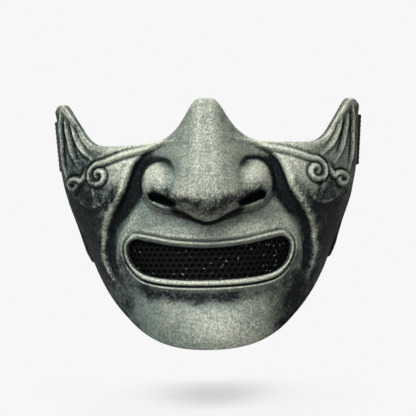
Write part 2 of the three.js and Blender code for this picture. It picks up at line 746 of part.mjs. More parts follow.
function makeStrap() {
  const right = strapPlan();
  const left = right.slice(0, -1).map(([x, y]) => [-x, y]).reverse();
  const route = [...right, ...left].map(([x, y]) => {
    const past = Math.max(0, y - rearEdge);
    const drop = strap.slope * (Math.hypot(past, strap.bend) - strap.bend);
    return new THREE.Vector3(x, y, strap.height - drop);
  });
  return tube(route.map((p, i) => {
    const [before, after] = around(route, i);
    const along = after.clone().sub(before).normalize();
    const out = new THREE.Vector3(along.y, -along.x, 0).normalize();
    const up = out.clone().cross(along).normalize();
    up.x += strap.lean * Math.sign(p.x) * (1 - smoothstep(p.y, rearEdge, 90));
    return [[1, 1], [-1, 1], [-1, -1], [1, -1]].map(([side, way]) => p.clone()
      .addScaledVector(out, (side * strap.thickness) / 2)
      .addScaledVector(up, (way * strap.width) / 2));
  }));
}

const mask = new THREE.Group();
mask.add(meshOf("mask_shell", makeShell(), colours.cast, 0.8, 0.1));
mask.add(meshOf("mouth_mesh", makePanel(), colours.steel, 0.5, 0.8));
mask.add(meshOf("mouth_backing", makeBacking(), colours.cloth, 1, 0));
mask.add(meshOf("head_strap", makeStrap(), colours.webbing, 0.9, 0));

export default mask;
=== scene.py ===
# Looks of the samurai half mask: a cast and painted shell with a cloud and rib ornament, a
# perforated steel sheet and black cloth behind the mouth, and an elastic head band.
# Sizes are in millimetres until a mesh is made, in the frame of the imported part: +Z is up,
# the face looks along -Y, and +X is on a viewer's right.
import math

import bmesh
import bpy
import numpy as np
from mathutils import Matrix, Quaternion, Vector


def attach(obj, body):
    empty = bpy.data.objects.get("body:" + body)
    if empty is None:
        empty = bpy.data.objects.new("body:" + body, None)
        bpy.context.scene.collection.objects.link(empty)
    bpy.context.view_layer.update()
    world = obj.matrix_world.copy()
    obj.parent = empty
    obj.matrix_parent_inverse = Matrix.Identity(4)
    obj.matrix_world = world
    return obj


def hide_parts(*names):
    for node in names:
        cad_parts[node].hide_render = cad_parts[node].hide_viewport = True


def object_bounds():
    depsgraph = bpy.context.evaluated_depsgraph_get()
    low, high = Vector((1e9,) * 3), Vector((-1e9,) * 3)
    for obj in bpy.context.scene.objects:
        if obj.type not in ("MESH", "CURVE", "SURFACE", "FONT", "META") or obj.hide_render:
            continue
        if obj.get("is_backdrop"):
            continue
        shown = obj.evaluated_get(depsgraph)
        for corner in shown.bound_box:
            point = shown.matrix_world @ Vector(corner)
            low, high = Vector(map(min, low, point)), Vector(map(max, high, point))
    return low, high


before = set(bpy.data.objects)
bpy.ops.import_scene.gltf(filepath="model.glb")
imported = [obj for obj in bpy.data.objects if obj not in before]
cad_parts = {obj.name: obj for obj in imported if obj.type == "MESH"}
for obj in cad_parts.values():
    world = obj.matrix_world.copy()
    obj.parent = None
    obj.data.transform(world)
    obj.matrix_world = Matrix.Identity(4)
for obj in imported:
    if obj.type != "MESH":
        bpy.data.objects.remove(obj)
cad_box = [list(corner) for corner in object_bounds()]
MM = 0.001

# ---- Sizes of the wall, as in the part's source ----------------------------------------
AXIS_DEPTH = 20  # y of the upright axis that the wall bends round
BACK_DEPTH = 80  # how far behind that axis the wall would close
SQUARENESS = 2.3
EDGE_ANGLE = 105  # degrees from the front to the rear edge
WALL = 4
GAP = 0.35  # between the band and the shell
CHIN_HEIGHT = -73.4
JAW_RISE = 51
JAW_POWER = 1.15
REAR_EDGE = 43.5

SECTIONS = dict(
    z=[-80, -62, -48, -33, -16, 0, 14, 26, 38, 52, 66, 86],
    half_width=[43, 52.5, 59, 65.8, 73.8, 79.3, 84, 86.8, 88.5, 89.6, 90, 89.5],
    front=[-41, -43, -42, -42, -42, -41, -39.5, -38, -36, -34, -32, -29],
)
TOP_EDGE = dict(
    angle=[0, 6, 10, 14, 19, 26, 34, 46, 54, 59, 63, 67, 71, 74, 77, 80, 84, 92, 116],
    z=[73.4, 72.6, 68.5, 61.8, 55, 49.6, 47.4, 46.8, 46.8, 47.6, 51.2, 57.6, 64.2, 68.8,
       71.6, 71.6, 69.8, 68.2, 66.8],
)

# ---- Sizes of the relief ---------------------------------------------------------------
NOSE_RIDGE = dict(
    z=[0, 9, 17, 24, 33, 42, 50, 64, 86],
    height=[25.2, 26.1, 26.1, 25, 21.8, 18, 15.4, 12, 10],
    half_width=[38, 41, 42, 39, 33, 28.5, 24.5, 20, 17],
)
NOSE_FLAT = 0.12  # share of the half width at which the ridge starts to fall away
# Lower edge of the nose against the distance from the middle, and the height over which
# the nose rises from it.
NOSE_FOOT = dict(
    x=[-6, 0, 6, 12, 18, 24, 30, 35, 38, 41],
    z=[2.4, 0.9, 2.4, 5.4, 7.8, 8.8, 10.4, 14, 18.6, 27],
    rise=[18, 19, 18, 15.5, 13, 11.5, 10, 8.5, 7.5, 6],
)
NOSE_WING = dict(x=27, z=24, inward=15, outward=13, half_height=14, height=14.6)
NOSTRIL = dict(path=[(31.2, 16.9), (28, 15.8), (23.5, 13.6), (20.4, 12.3)],
               outer=3.5, inner=1.6, depth=8)
NOSTRIL_RIM = dict(offset=4.1, height=1, width=0.9)

MOUTH_HALF = [
    (0, -14.4), (20, -13), (36, -9.8), (44, -8.7), (47.6, -11.8),
    (47.6, -17.6), (44.6, -23.6), (39, -28), (28, -31), (0, -32.6),
]
MOUTH_MIDDLE = -19.6
# Height of the lips against the distance out from the edge of the opening.
UPPER_LIP = dict(
    out=[0, 0.7, 1.6, 2.5, 3.2, 4.1, 4.9, 6.2, 8],
    height=[-2.4, -1.2, -0.1, 1.3, 1.3, -0.5, -0.4, 0.15, 0],
)
LOWER_LIP = dict(
    out=[0, 0.4, 1, 1.9, 2.9, 3.7, 4.3, 5.3, 6.1, 8],
    height=[-2.4, -0.8, 0.8, 1.6, 1.3, -0.8, -0.6, 0.9, 0.4, 0],
)
LIP_CORNER = dict(
    out=[0, 0.5, 1.1, 1.8, 2.7, 3.5, 4.4, 6],
    height=[-2.2, -0.5, 0.9, 1.0, -0.6, -0.4, 0.35, 0],
)

CHEEK_FOLD = [
    (16, 47), (25, 45.4), (34, 41.6), (40.6, 35), (44, 26.5), (47, 17.5),
    (52, 8.5), (57.4, -1), (60.4, -11), (60, -21), (55.6, -31), (48, -38.5),
]
FOLD_HEIGHTS = dict(
    along=[0, 0.16, 0.34, 0.5, 0.64, 0.82, 1], height=[0, 3.2, 5.6, 5.4, 3.6, 1.9, 0],
)
FOLD = dict(flank=3.4, reach=34, trough=2.6, trough_place=4, trough_width=4.5)
CHEEKBONE = [
    (54, 16), (60, 9.8), (68, 8.6), (75.6, 13), (81.4, 24), (85, 37), (87, 52),
]
BONE_HEIGHTS = dict(along=[0, 0.2, 0.45, 0.75, 1], height=[0, 2, 2.8, 1.9, 0.6])
BONE = dict(flank=3.2, reach=30)
CHEEK_HOLLOW = dict(x=68, z=-5, half_width=11, half_height=20, height=-3.2)
CHIN = dict(x=0, z=-59, half_width=30, half_height=14, height=3.6)
SULCUS = dict(x=0, z=-43, half_width=36, half_height=6, height=-2)
EDGE_ROLL = dict(width=2.6, height=0.9)
HORN_SCOOP = dict(x=80, z=56, half_width=7, half_height=13, height=-1.3)

CURLS = [
    dict(x=62.5, z=29.5, radius=7.4, end_radius=1.5, start=100, turns=1.4,
         tail=[(30, 44.6), (38, 43.6), (47, 41.6), (55.5, 38.6)]),
    dict(x=77, z=24, radius=4.4, end_radius=1.3, start=150, turns=1.15,
         tail=[(70.4, 33), (71, 31), (72, 28.6)]),
]
HORN_RIBS = [
    [(81.4, 29), (84, 39), (85.8, 50), (86.6, 60), (86.6, 67)],
    [(74, 34), (78.8, 42.5), (82.2, 52.5), (84.2, 61.6)],
    [(67, 39), (73, 44.4), (77.6, 52), (80.6, 59.6)],
]
RIB = dict(half_width=1.35, height=1.5, groove=0.6, groove_place=2.5, groove_width=0.9)
HOLLOW = dict(half_width=19, bottom=8, blend=12, share=0.8)
ROUNDING = dict(edge=1.3, drop=0.95)
RIM_RINGS = (0.3, 0.85)  # shares of the wall's thickness at which its rims have a ring
# Cell, height and seed of the hills that make the cast surface uneven.
UNEVEN = [(17, 0.22, 4), (7.5, 0.12, 5), (2.6, 0.05, 6)]

# ---- Sizes of the paint ----------------------------------------------------------------
# Columns and rows of the blurs that tell what stands up, and how far their edges drop.
BLURS = [(1.6, 1.4, 0.8), (6.5, 6, 2), (21, 20, 3)]
# Spots of painted shade, on the tops of the nose wings, and of painted highlight.
WING_SHADE = dict(x=30, z=37, half_width=7, half_height=4.5, height=0.7)
ROOT_HIGHLIGHT = dict(x=25, z=46, half_width=9, half_height=8, height=0.6)
CHEEK_HIGHLIGHT = dict(x=52, z=34, half_width=14, half_height=12, height=0.4)
NOSE_HIGHLIGHT = dict(x=0, z=-2.5, half_width=36, half_height=6, height=1)
CHIN_HIGHLIGHT = dict(x=9, z=-66, half_width=26, half_height=13, height=0.7)

# ---- Sizes of the other pieces ---------------------------------------------------------
PANEL = dict(
    half_width=54, bottom=-38.6, top=-4.1, front=WALL + 0.4, thickness=1.2,
    pitch=3.7, hole_radius=1.2, middle=-21.1, margin=2.4,
)
BACKING = dict(stand_off=0.95, thickness=1)  # as wide and high as the panel
STRAP = dict(
    thickness=1.6, width=30, height=47.5, lean=0.075, ease=0.9,
    tail_end=70, tail_merge=14, turn_clear=0.9, back_depth=134, slope=0.37, bend=4,
    roundness=2.1, hem=0.6, ridge_pitch=2.7, ridge=0.1,
)
STITCH = dict(near=4, far=19, edge=11, pitch=3.1, across=9, radius=0.32, bulge=0.16)
SLOT = dict(front=29.3, back=35.5, height=31.6, corner=1)

# Cells of the outer and the inner skin of the shell.
OUTER_GRID = dict(columns=310, rows=176, tolerance=0.045)
INNER_GRID = dict(columns=120, rows=66)


# ---- Small tools -----------------------------------------------------------------------
def smoothstep(value, low, high):
    share = np.clip((np.asarray(value, float) - low) / (high - low), 0, 1)
    return share * share * (3 - 2 * share)


def lerp(a, b, share):
    return a + (b - a) * share


def bell(t):
    return np.exp(-np.square(t))


def dome(t):
    return np.maximum(0, 1 - t * t) ** 0.85


def unit(vectors):
    return vectors / np.linalg.norm(vectors, axis=-1, keepdims=True)


def running_length(points):
    """Length along a row of points, from its start to each of them."""
    return np.append(0, np.cumsum(np.linalg.norm(np.diff(points, axis=0), axis=1)))


def plateau(value, start, full, fade, end):
    """1 from full to fade, and falling smoothly to 0 at start and at end."""
    return smoothstep(value, start, full) * (1 - smoothstep(value, fade, end))


def blend_max(a, b, reach):
    """The larger of two heights, with the corner between them rounded over."""
    radius = np.minimum(reach, a + b + 1e-6)
    share = np.clip(0.5 + 0.5 * (a - b) / radius, 0, 1)
    return lerp(b, a, share) + radius * share * (1 - share)


def through(table, key, column):
    """A smooth curve through the rows of a table, held level past its ends."""
    at = np.array(table[key], float)
    level = np.array(table[column], float)
    last = len(at) - 1
    before = np.maximum(np.arange(last + 1) - 1, 0)
    after = np.minimum(np.arange(last + 1) + 1, last)
    slope = (level[after] - level[before]) / (at[after] - at[before])

    def curve(value):
        t = np.clip(value, at[0], at[-1])
        i = np.clip(np.searchsorted(at, t) - 1, 0, last - 1)
        span = at[i + 1] - at[i]
        u = (t - at[i]) / span
        rise = u * u * (3 - 2 * u)
        bend = span * u * (1 - u) * ((1 - u) * slope[i] - u * slope[i + 1])
        return lerp(level[i], level[i + 1], rise) + bend

    return curve


def value_noise(x, z, cell, seed):
    """Smooth random hills from -1 to 1 over the plane, one in each cell."""
    lattice = np.random.default_rng(seed).uniform(-1, 1, (97, 89))
    across, up = np.asarray(x) / cell + 500, np.asarray(z) / cell + 500
    i, j = np.floor(across).astype(int), np.floor(up).astype(int)
    u, v = smoothstep(across - i, 0, 1), smoothstep(up - j, 0, 1)
    corner = lambda di, dj: lattice[(i + di) % 97, (j + dj) % 89]
    low = lerp(corner(0, 0), corner(1, 0), u)
    high = lerp(corner(0, 1), corner(1, 1), u)
    return lerp(low, high, v)


def smooth_path(points, spacing, closed=False):
    """Points at even spacing on a centripetal Catmull-Rom curve through a few points."""
    given = np.array(points, float)
    if closed:
        ring = np.vstack([given[-1], given, given[:2]])
    else:
        ring = np.vstack([2 * given[0] - given[1], given, 2 * given[-1] - given[-2]])
    fine = []
    for p0, p1, p2, p3 in zip(ring, ring[1:], ring[2:], ring[3:]):
        knots = np.cumsum([0] + [np.linalg.norm(b - a) ** 0.5
                                 for a, b in ((p0, p1), (p1, p2), (p2, p3))])
        t = np.linspace(knots[1], knots[2], 24, endpoint=False)[:, None]

        def mix(a, b, i, j):
            return ((knots[j] - t) * a + (t - knots[i]) * b) / (knots[j] - knots[i])

        a1, a2, a3 = mix(p0, p1, 0, 1), mix(p1, p2, 1, 2), mix(p2, p3, 2, 3)
        fine.append(mix(mix(a1, a2, 0, 2), mix(a2, a3, 1, 3), 1, 2))
    fine = np.vstack([*fine, given[0] if closed else given[-1]])
    lengths = running_length(fine)
    count = max(2, round(lengths[-1] / spacing))
    at = np.linspace(0, lengths[-1], count + 1)
    path = np.column_stack([np.interp(at, lengths, column) for column in fine.T])
    return path[:-1] if closed else path


def nearest(path, x, z):
    """Nearest place on a path: distance, share of its length, side (left is +1), point."""
    best = np.full(np.shape(x), np.inf)
    along, side = np.zeros(np.shape(x)), np.ones(np.shape(x))
    at_x, at_z = np.zeros(np.shape(x)), np.zeros(np.shape(x))
    for i in range(len(path) - 1):
        (ax, az), (bx, bz) = path[i], path[i + 1]
        ex, ez = bx - ax, bz - az
        share = np.clip(((x - ax) * ex + (z - az) * ez) / (ex * ex + ez * ez), 0, 1)
        px, pz = ax + ex * share, az + ez * share
        distance = np.hypot(x - px, z - pz)
        closer = distance < best
        best = np.where(closer, distance, best)
        along = np.where(closer, (i + share) / (len(path) - 1), along)
        side = np.where(closer, np.where(ex * (z - az) - ez * (x - ax) > 0, 1, -1), side)
        at_x, at_z = np.where(closer, px, at_x), np.where(closer, pz, at_z)
    return best, along, side, at_x, at_z


def inside(outline, x, z):
    odd = np.zeros(np.shape(x), bool)
    for (ax, az), (bx, bz) in zip(outline, np.roll(outline, 1, axis=0)):
        if az != bz:
            crosses = (az > z) != (bz > z)
            odd ^= crosses & (x < (bx - ax) * (z - az) / (bz - az) + ax)
    return odd


def off_outline(outline, x, z):
    """Distance from a closed outline, below 0 inside it, and the nearest place on it."""
    loop = np.vstack([outline, outline[:1]])
    distance, _, _, at_x, at_z = nearest(loop, x, z)
    return np.where(inside(outline, x, z), -distance, distance), at_x, at_z


def blurred(field, across, up, drop):
    """A field of a grid blurred by a number of columns and rows. Past its edges the field
    is taken to lie lower by drop, so that an edge counts as raised."""
    for axis, sigma in ((0, across), (1, up)):
        reach = int(3 * sigma) + 1
        kernel = np.exp(-0.5 * (np.arange(-reach, reach + 1) / sigma) ** 2)
        width = [(reach, reach) if a == axis else (0, 0) for a in (0, 1)]
        ramp = np.pad(np.zeros_like(field), width, constant_values=drop)
        padded = np.pad(field, width, mode="edge") - ramp
        smooth = lambda line: np.convolve(line, kernel / kernel.sum(), "valid")
        field = np.apply_along_axis(smooth, axis, padded)
    return field


# ---- The plain wall --------------------------------------------------------------------
half_width_at = through(SECTIONS, "z", "half_width")
front_at = through(SECTIONS, "z", "front")
top_at = through(TOP_EDGE, "angle", "z")


def top_of(angle):
    return top_at(np.abs(angle))


def bottom_of(angle):
    return CHIN_HEIGHT + JAW_RISE * (1 - np.cos(np.radians(angle))) ** JAW_POWER


def wall_point(angle, z, height=0.0):
    """A point of the plain wall, moved out by a height: straight forward in the middle of
    the face, and square to the axis at its sides."""
    sine, cosine = np.sin(np.radians(angle)), np.cos(np.radians(angle))
    depth = np.where(cosine > 0, AXIS_DEPTH - front_at(z), BACK_DEPTH)
    across = (np.abs(sine) / half_width_at(z)) ** SQUARENESS
    radius = (across + (np.abs(cosine) / depth) ** SQUARENESS) ** (-1 / SQUARENESS)
    turn = np.radians(angle) * smoothstep(np.abs(angle), 30, 65)
    x = radius * sine + height * np.sin(turn)
    y = AXIS_DEPTH - radius * cosine - height * np.cos(turn)
    return np.stack([x, y, z + np.zeros_like(x)], axis=-1)


def wall_x(y):
    """Where the wall's outer face lies at a depth behind the axis, on the band's level."""
    share = (y - AXIS_DEPTH) / BACK_DEPTH
    return half_width_at(STRAP["height"]) * (1 - share ** SQUARENESS) ** (1 / SQUARENESS)


def seen_x(angle, z):
    """How far from the middle a place of the wall shows from the front."""
    return np.abs(wall_point(angle, z)[..., 0])


def angle_at(x, z):
    """The angle at which the plain wall shows at x from the front."""
    share = np.clip(np.abs(x) / half_width_at(z), 0, 0.9999)
    depth = (AXIS_DEPTH - front_at(z)) * (1 - share ** SQUARENESS) ** (1 / SQUARENESS)
    return np.sign(x) * np.degrees(np.arctan2(np.abs(x), depth))


# Length along the wall from the middle of the face, on a section through the cheeks.
ARC_HEIGHT = 30
arc_angles = np.arange(0, EDGE_ANGLE + 10.1, 1.5)
arc_lengths = running_length(wall_point(arc_angles, np.full(len(arc_angles), ARC_HEIGHT)))


def arc_at(angle):
    return np.sign(angle) * np.interp(np.abs(angle), arc_angles, arc_lengths)


def angle_of_arc(arc):
    return np.sign(arc) * np.interp(np.abs(arc), arc_lengths, arc_angles)


def unrolled(points):
    """Points seen from the front, as length along the wall and height."""
    return [(float(arc_at(angle_at(x, z))), z) for x, z in points]


# ---- Curves on the wall ----------------------------------------------------------------
fold_path = smooth_path(unrolled(CHEEK_FOLD), 2.5)
bone_path = smooth_path(unrolled(CHEEKBONE), 3)
nostril_path = smooth_path(NOSTRIL["path"], 1.5)
mouth_points = MOUTH_HALF + [(-x, z) for x, z in MOUTH_HALF[-2:0:-1]]
mouth_outline = smooth_path(unrolled(mouth_points), 1.6, closed=True)


def curl_path(curl):
    share = np.linspace(0, 1, 60)
    turn = np.radians(curl["start"] - 360 * curl["turns"] * share)
    radius = lerp(curl["radius"], curl["end_radius"], share ** 0.8)
    spiral = zip(curl["x"] + radius * np.cos(turn), curl["z"] + radius * np.sin(turn))
    tail = smooth_path(unrolled(curl["tail"]), 1.5)
    return smooth_path(np.vstack([tail, unrolled(spiral)]), 1)


rib_paths = [curl_path(curl) for curl in CURLS]
rib_paths += [smooth_path(unrolled(points), 1.5) for points in HORN_RIBS]


def slot_outline(side):
    """The strap slot, unrolled, with its corners rounded."""
    front, back = [arc_at(math.degrees(math.atan2(wall_x(y), AXIS_DEPTH - y)))
                   for y in (SLOT["front"], SLOT["back"])]
    corner, half = SLOT["corner"], SLOT["height"] / 2
    outline = []
    for k, (arc, z) in enumerate([(back, half), (front, half), (front, -half), (back, -half)]):
        middle_arc = arc - corner if k in (0, 3) else arc + corner
        middle_z = STRAP["height"] + (z - corner if k < 2 else z + corner)
        for turn in np.radians(np.arange(0, 91, 30) + 90 * k):
            outline.append((middle_arc + corner * math.cos(turn),
                            middle_z + corner * math.sin(turn)))
    return np.array(outline) * (side, 1)


# ---- Relief ----------------------------------------------------------------------------
nose_height_at = through(NOSE_RIDGE, "z", "height")
nose_width_at = through(NOSE_RIDGE, "z", "half_width")
nose_foot_at = through(NOSE_FOOT, "x", "z")
nose_rise_at = through(NOSE_FOOT, "x", "rise")
fold_height_at = through(FOLD_HEIGHTS, "along", "height")
bone_height_at = through(BONE_HEIGHTS, "along", "height")
upper_lip_at = through(UPPER_LIP, "out", "height")
lower_lip_at = through(LOWER_LIP, "out", "height")
lip_corner_at = through(LIP_CORNER, "out", "height")


def nose_height(x, z):
    """The ridge and the wings, rounded down to the nose's lower edge, and nostril rims."""
    share = smoothstep(x / nose_width_at(z), NOSE_FLAT, 1)
    ridge = nose_height_at(z) * (1 - share)
    off = x - NOSE_WING["x"]
    across = off / np.where(off < 0, NOSE_WING["inward"], NOSE_WING["outward"])
    wing = NOSE_WING["height"] * dome(np.hypot(
        across, (z - NOSE_WING["z"]) / NOSE_WING["half_height"]))
    short = 1 - np.clip((z - nose_foot_at(x)) / nose_rise_at(x), 0, 1)
    rise = np.sqrt(1 - short ** 2)
    distance, along, side, _, _ = nearest(nostril_path, x, z)
    off_rim = (distance - NOSTRIL_RIM["offset"]) / NOSTRIL_RIM["width"]
    rim = NOSTRIL_RIM["height"] * bell(off_rim) * (side > 0) * smoothstep(along, 0, 0.05)
    return blend_max(ridge, wing, 6) * rise + rim * (1 - smoothstep(along, 0.7, 0.98))


def nostril_depth(x, z):
    distance, along = nearest(nostril_path, x, z)[:2]
    width = lerp(NOSTRIL["outer"], NOSTRIL["inner"], along)
    return NOSTRIL["depth"] * (1 - smoothstep(distance, 0.45 * width, width + 0.3))


def mass_height(path, height_at, shape, arc, z):
    """A mass that is raised on the left of a path, and falls away past its reach."""
    distance, along, side, _, _ = nearest(path, arc, z)
    rise = smoothstep(distance, 0, shape["flank"])
    fall = 1 - smoothstep(distance, shape["flank"] + 1, shape["reach"])
    return np.where(side > 0, height_at(along) * rise * fall, 0)


def fold_trough(arc, z):
    distance, along, side, _, _ = nearest(fold_path, arc, z)
    fade = plateau(along, 0.1, 0.3, 0.75, 1)
    offset = (-side * distance - FOLD["trough_place"]) / FOLD["trough_width"]
    return -FOLD["trough"] * fade * bell(offset)


def mound(shape, x, z):
    across = (x - shape["x"]) / shape["half_width"]
    return shape["height"] * bell(np.hypot(across, (z - shape["z"]) / shape["half_height"]))


def lip_height(arc, z):
    distance, _, _ = off_outline(mouth_outline, arc, z)
    out = np.maximum(distance, 0)
    low = smoothstep(MOUTH_MIDDLE - z, -2, 4)
    corner = smoothstep(np.abs(arc), arc_at(34.0), arc_at(46.0))
    middle = lerp(upper_lip_at(out), lower_lip_at(out), low)
    return lerp(middle, lip_corner_at(out), corner)


def ornament_height(arc, z):
    """The curls and ribs: round beads with a fine groove on each side."""
    beads, grooves = np.zeros(np.shape(arc)), np.zeros(np.shape(arc))
    for path in rib_paths:
        distance, along = nearest(path, arc, z)[:2]
        taper = smoothstep(along * len(path), 0, 9) * smoothstep((1 - along) * len(path), -1, 5)
        width = RIB["half_width"] * (0.65 + 0.35 * taper)
        bead = RIB["height"] * bell(distance / width) * (0.3 + 0.7 * taper)
        groove = RIB["groove"] * bell((distance - RIB["groove_place"]) / RIB["groove_width"])
        beads = np.maximum(beads, bead)
        grooves = np.maximum(grooves, groove * taper)
    return beads - grooves * (1 - smoothstep(beads, 0, 0.5))


def face_height(angle, z):
    """Height of the outer face over the plain wall."""
    side_arc = np.abs(arc_at(angle))
    x = seen_x(angle, z)
    frontal = np.abs(angle) <= 90
    height = mass_height(fold_path, fold_height_at, FOLD, side_arc, z)
    height += mass_height(bone_path, bone_height_at, BONE, side_arc, z)
    height += fold_trough(side_arc, z)
    from_top = top_of(angle) - z
    roll = bell((from_top - 1.6) / EDGE_ROLL["width"]) * plateau(np.abs(angle), 20, 34, 84, 96)
    height += EDGE_ROLL["height"] * roll
    front_only = nose_height(x, z)
    for shape in (CHEEK_HOLLOW, HORN_SCOOP, CHIN, SULCUS):
        front_only = front_only + mound(shape, x, z)
    height += np.where(frontal, front_only, 0)
    height += ornament_height(side_arc, z)
    return height + lip_height(arc_at(angle), z)


def pierced_height(arc, z):
    """Height of the outer face with its nostrils."""
    angle = angle_of_arc(arc)
    return face_height(angle, z) - nostril_depth(seen_x(angle, z), z)


def inner_height(angle, z):
    """The wearer's side is plain, with a hollow for the nose."""
    across = 1 - smoothstep(seen_x(angle, z) / HOLLOW["half_width"], 0, 1)
    up = smoothstep(z, HOLLOW["bottom"], HOLLOW["bottom"] + HOLLOW["blend"])
    nose = HOLLOW["share"] * nose_height_at(z) * across * up
    return np.where(np.abs(angle) > 90, 0, nose) - WALL


# ---- Grids with holes ------------------------------------------------------------------
def spaced(count, density):
    """Shares from 0 to 1, closer together where the density is higher."""
    fine = np.linspace(0, 1, 4001)
    total = np.concatenate([[0], np.cumsum(density(0.5 * (fine[1:] + fine[:-1])))])
    return np.interp(np.linspace(0, total[-1], count + 1), total, fine)


def grid_on_wall(columns, rows, fine):
    """Angles and heights of a grid over the whole shell. A fine one has more columns in
    the middle of the face, more rows at the mouth, and close ones along the edges."""
    def across(share):
        angle = EDGE_ANGLE * (2 * share - 1)
        return 1 + 0.9 * bell(angle / 55) + fine * 3 * bell((np.abs(angle) - EDGE_ANGLE) / 1.5)

    def up(share):
        mouth = bell((share - 0.34) / 0.2)
        edges = bell(share / 0.012) + bell((1 - share) / 0.012)
        return 1 + 0.55 * mouth + fine * 3.2 * edges

    angles = EDGE_ANGLE * (2 * spaced(columns, across) - 1)
    shares = spaced(rows, up)
    angle = np.repeat(angles[:, None], rows + 1, axis=1)
    z = lerp(bottom_of(angle), top_of(angle), shares[None, :])
    return angle, z


def cut_grid(angle, z, outlines):
    """Moves the grid's nearest corners on to the outlines, and gives its triangles outside
    them, as corner numbers."""
    arc = arc_at(angle)
    step_arc = np.abs(np.gradient(arc, axis=0))
    step_z = np.abs(np.gradient(z, axis=1))
    reach = 0.56 * np.maximum(step_arc, step_z)
    away = np.full(arc.shape, np.inf)
    for outline in outlines:
        distance, at_arc, at_z = off_outline(outline, arc, z)
        snap = np.abs(distance) < reach
        arc = np.where(snap, at_arc, arc)
        z = np.where(snap, at_z, z)
        away = np.minimum(away, np.where(snap, 0, distance))
    number = np.arange(arc.size).reshape(arc.shape)
    corners = [number[:-1, :-1], number[1:, :-1], number[1:, 1:], number[:-1, 1:]]
    a, b, c, d = [corner.ravel() for corner in corners]
    flat = np.column_stack([arc.ravel(), z.ravel()])
    in_hole = away.ravel() < 0
    bad = in_hole[np.stack([a, b, c, d])]
    none = bad.sum(0) == 0
    short = np.linalg.norm(flat[a] - flat[c], axis=1) < np.linalg.norm(flat[b] - flat[d], axis=1)
    triangles = [
        np.column_stack([a, b, c])[none & short], np.column_stack([a, c, d])[none & short],
        np.column_stack([a, b, d])[none & ~short], np.column_stack([b, c, d])[none & ~short],
    ]
    one = bad.sum(0) == 1
    for k, trio in enumerate(((b, c, d), (a, c, d), (a, b, d), (a, b, c))):
        triangles.append(np.column_stack(trio)[one & bad[k]])
    triangles = np.vstack(triangles)
    middle = flat[triangles].mean(axis=1)
    keep = np.ones(len(triangles), bool)
    for outline in outlines:
        close = (np.abs(away.ravel()[triangles]) < 1e-9).sum(1) == 3
        keep &= ~(close & inside(outline, middle[:, 0], middle[:, 1]))
    return angle_of_arc(arc), z, without_pinches(triangles[keep])


def open_edges(triangles):
    edges = np.vstack([triangles[:, [0, 1]], triangles[:, [1, 2]], triangles[:, [2, 0]]])
    size = edges.max() + 1
    codes = edges[:, 0] * size + edges[:, 1]
    return edges[~np.isin(edges[:, 1] * size + edges[:, 0], codes)]


def without_pinches(triangles):
    """Drops the smaller fan of triangles where two fans meet in one corner only."""
    while True:
        starts, counts = np.unique(open_edges(triangles)[:, 0], return_counts=True)
        drop = set()
        for corner in starts[counts > 1]:
            left = set(np.flatnonzero((triangles == corner).any(axis=1)))
            fans = []
            while left:
                fan, grown = [], [left.pop()]
                while grown:
                    fan += grown
                    known = {v for t in fan for v in triangles[t]} - {corner}
                    grown = [t for t in left if known & set(triangles[t])]
                    left -= set(grown)
                fans.append(fan)
            drop.update(min(fans, key=len))
        if not drop:
            return triangles
        triangles = np.delete(triangles, sorted(drop), axis=0)


def halved(arc, z, triangles, tolerance):
    """A finer net: an edge is halved where the height in its middle is further than the
    tolerance from the mean of its ends. Gives the corner pairs of the new points too."""
    sides = np.stack([triangles[:, [0, 1]], triangles[:, [1, 2]], triangles[:, [2, 0]]], axis=1)
    pairs, which = np.unique(np.sort(sides.reshape(-1, 2), axis=1), axis=0, return_inverse=True)
    mid_arc, mid_z = arc[pairs].mean(1), z[pairs].mean(1)
    ends = pierced_height(arc, z)[pairs].mean(1)
    split = np.abs(pierced_height(mid_arc, mid_z) - ends) > tolerance
    number = np.where(split, len(arc) + np.cumsum(split) - 1, -1)
    middles = number[which.reshape(-1)].reshape(-1, 3)
    count = (middles >= 0).sum(1)
    made = [triangles[count == 0]]
    a, b, c = triangles[count == 3].T
    ab, bc, ca = middles[count == 3].T
    made += [np.column_stack(t) for t in ((a, ab, ca), (ab, b, bc), (ca, bc, c), (ab, bc, ca))]
    for k in range(3):
        one = (count == 1) & (middles[:, k] >= 0)
        a, b, c = np.roll(triangles[one], -k, axis=1).T
        ab = middles[one, k]
        made += [np.column_stack([a, ab, c]), np.column_stack([ab, b, c])]
        two = (count == 2) & (middles[:, k] < 0)
        a, b, c = np.roll(triangles[two], -k, axis=1).T
        bc, ca = np.roll(middles[two], -k, axis=1)[:, 1:].T
        made += [np.column_stack(t) for t in ((a, b, bc), (a, bc, ca), (ca, bc, c))]
    return mid_arc[split], mid_z[split], pairs[split], np.vstack(made)


def border_loops(triangles):
    """The closed loops of corners along the open edges of a set of triangles."""
    follow = {int(a): int(b) for a, b in open_edges(triangles)}
    loops = []
    while follow:
        start, here = follow.popitem()
        loop = [start]
        while here != start:
            loop.append(here)
            here = follow.pop(here)
        loops.append(np.array(loop))
    return loops


def zipped(first, second, points):
    """Triangles between two closed loops of corners that run the same way round."""
    gap = np.linalg.norm(points[second] - points[first[0]], axis=1)
    second = np.roll(second, -int(np.argmin(gap)))

    def lengths(loop):
        total = running_length(points[np.append(loop, loop[0])])
        return total / total[-1]

    at_first, at_second = lengths(first), lengths(second)
    i = j = 0
    triangles = []
    while i < len(first) or j < len(second):
        a, b = first[i % len(first)], second[j % len(second)]
        take_first = j == len(second) or (i < len(first) and at_first[i + 1] <= at_second[j + 1])
        if take_first:
            i += 1
            triangles.append((a, first[i % len(first)], b))
        else:
            j += 1
            triangles.append((a, second[j % len(second)], b))
    return np.array(triangles)


def tube_faces(first, sides, rings):
    """Faces between rings of corners that follow each other, from a first corner on."""
    return [(a + k, a + (k + 1) % sides, a + sides + (k + 1) % sides, a + sides + k)
            for a in range(first, first + sides * (rings - 1), sides) for k in range(sides)]


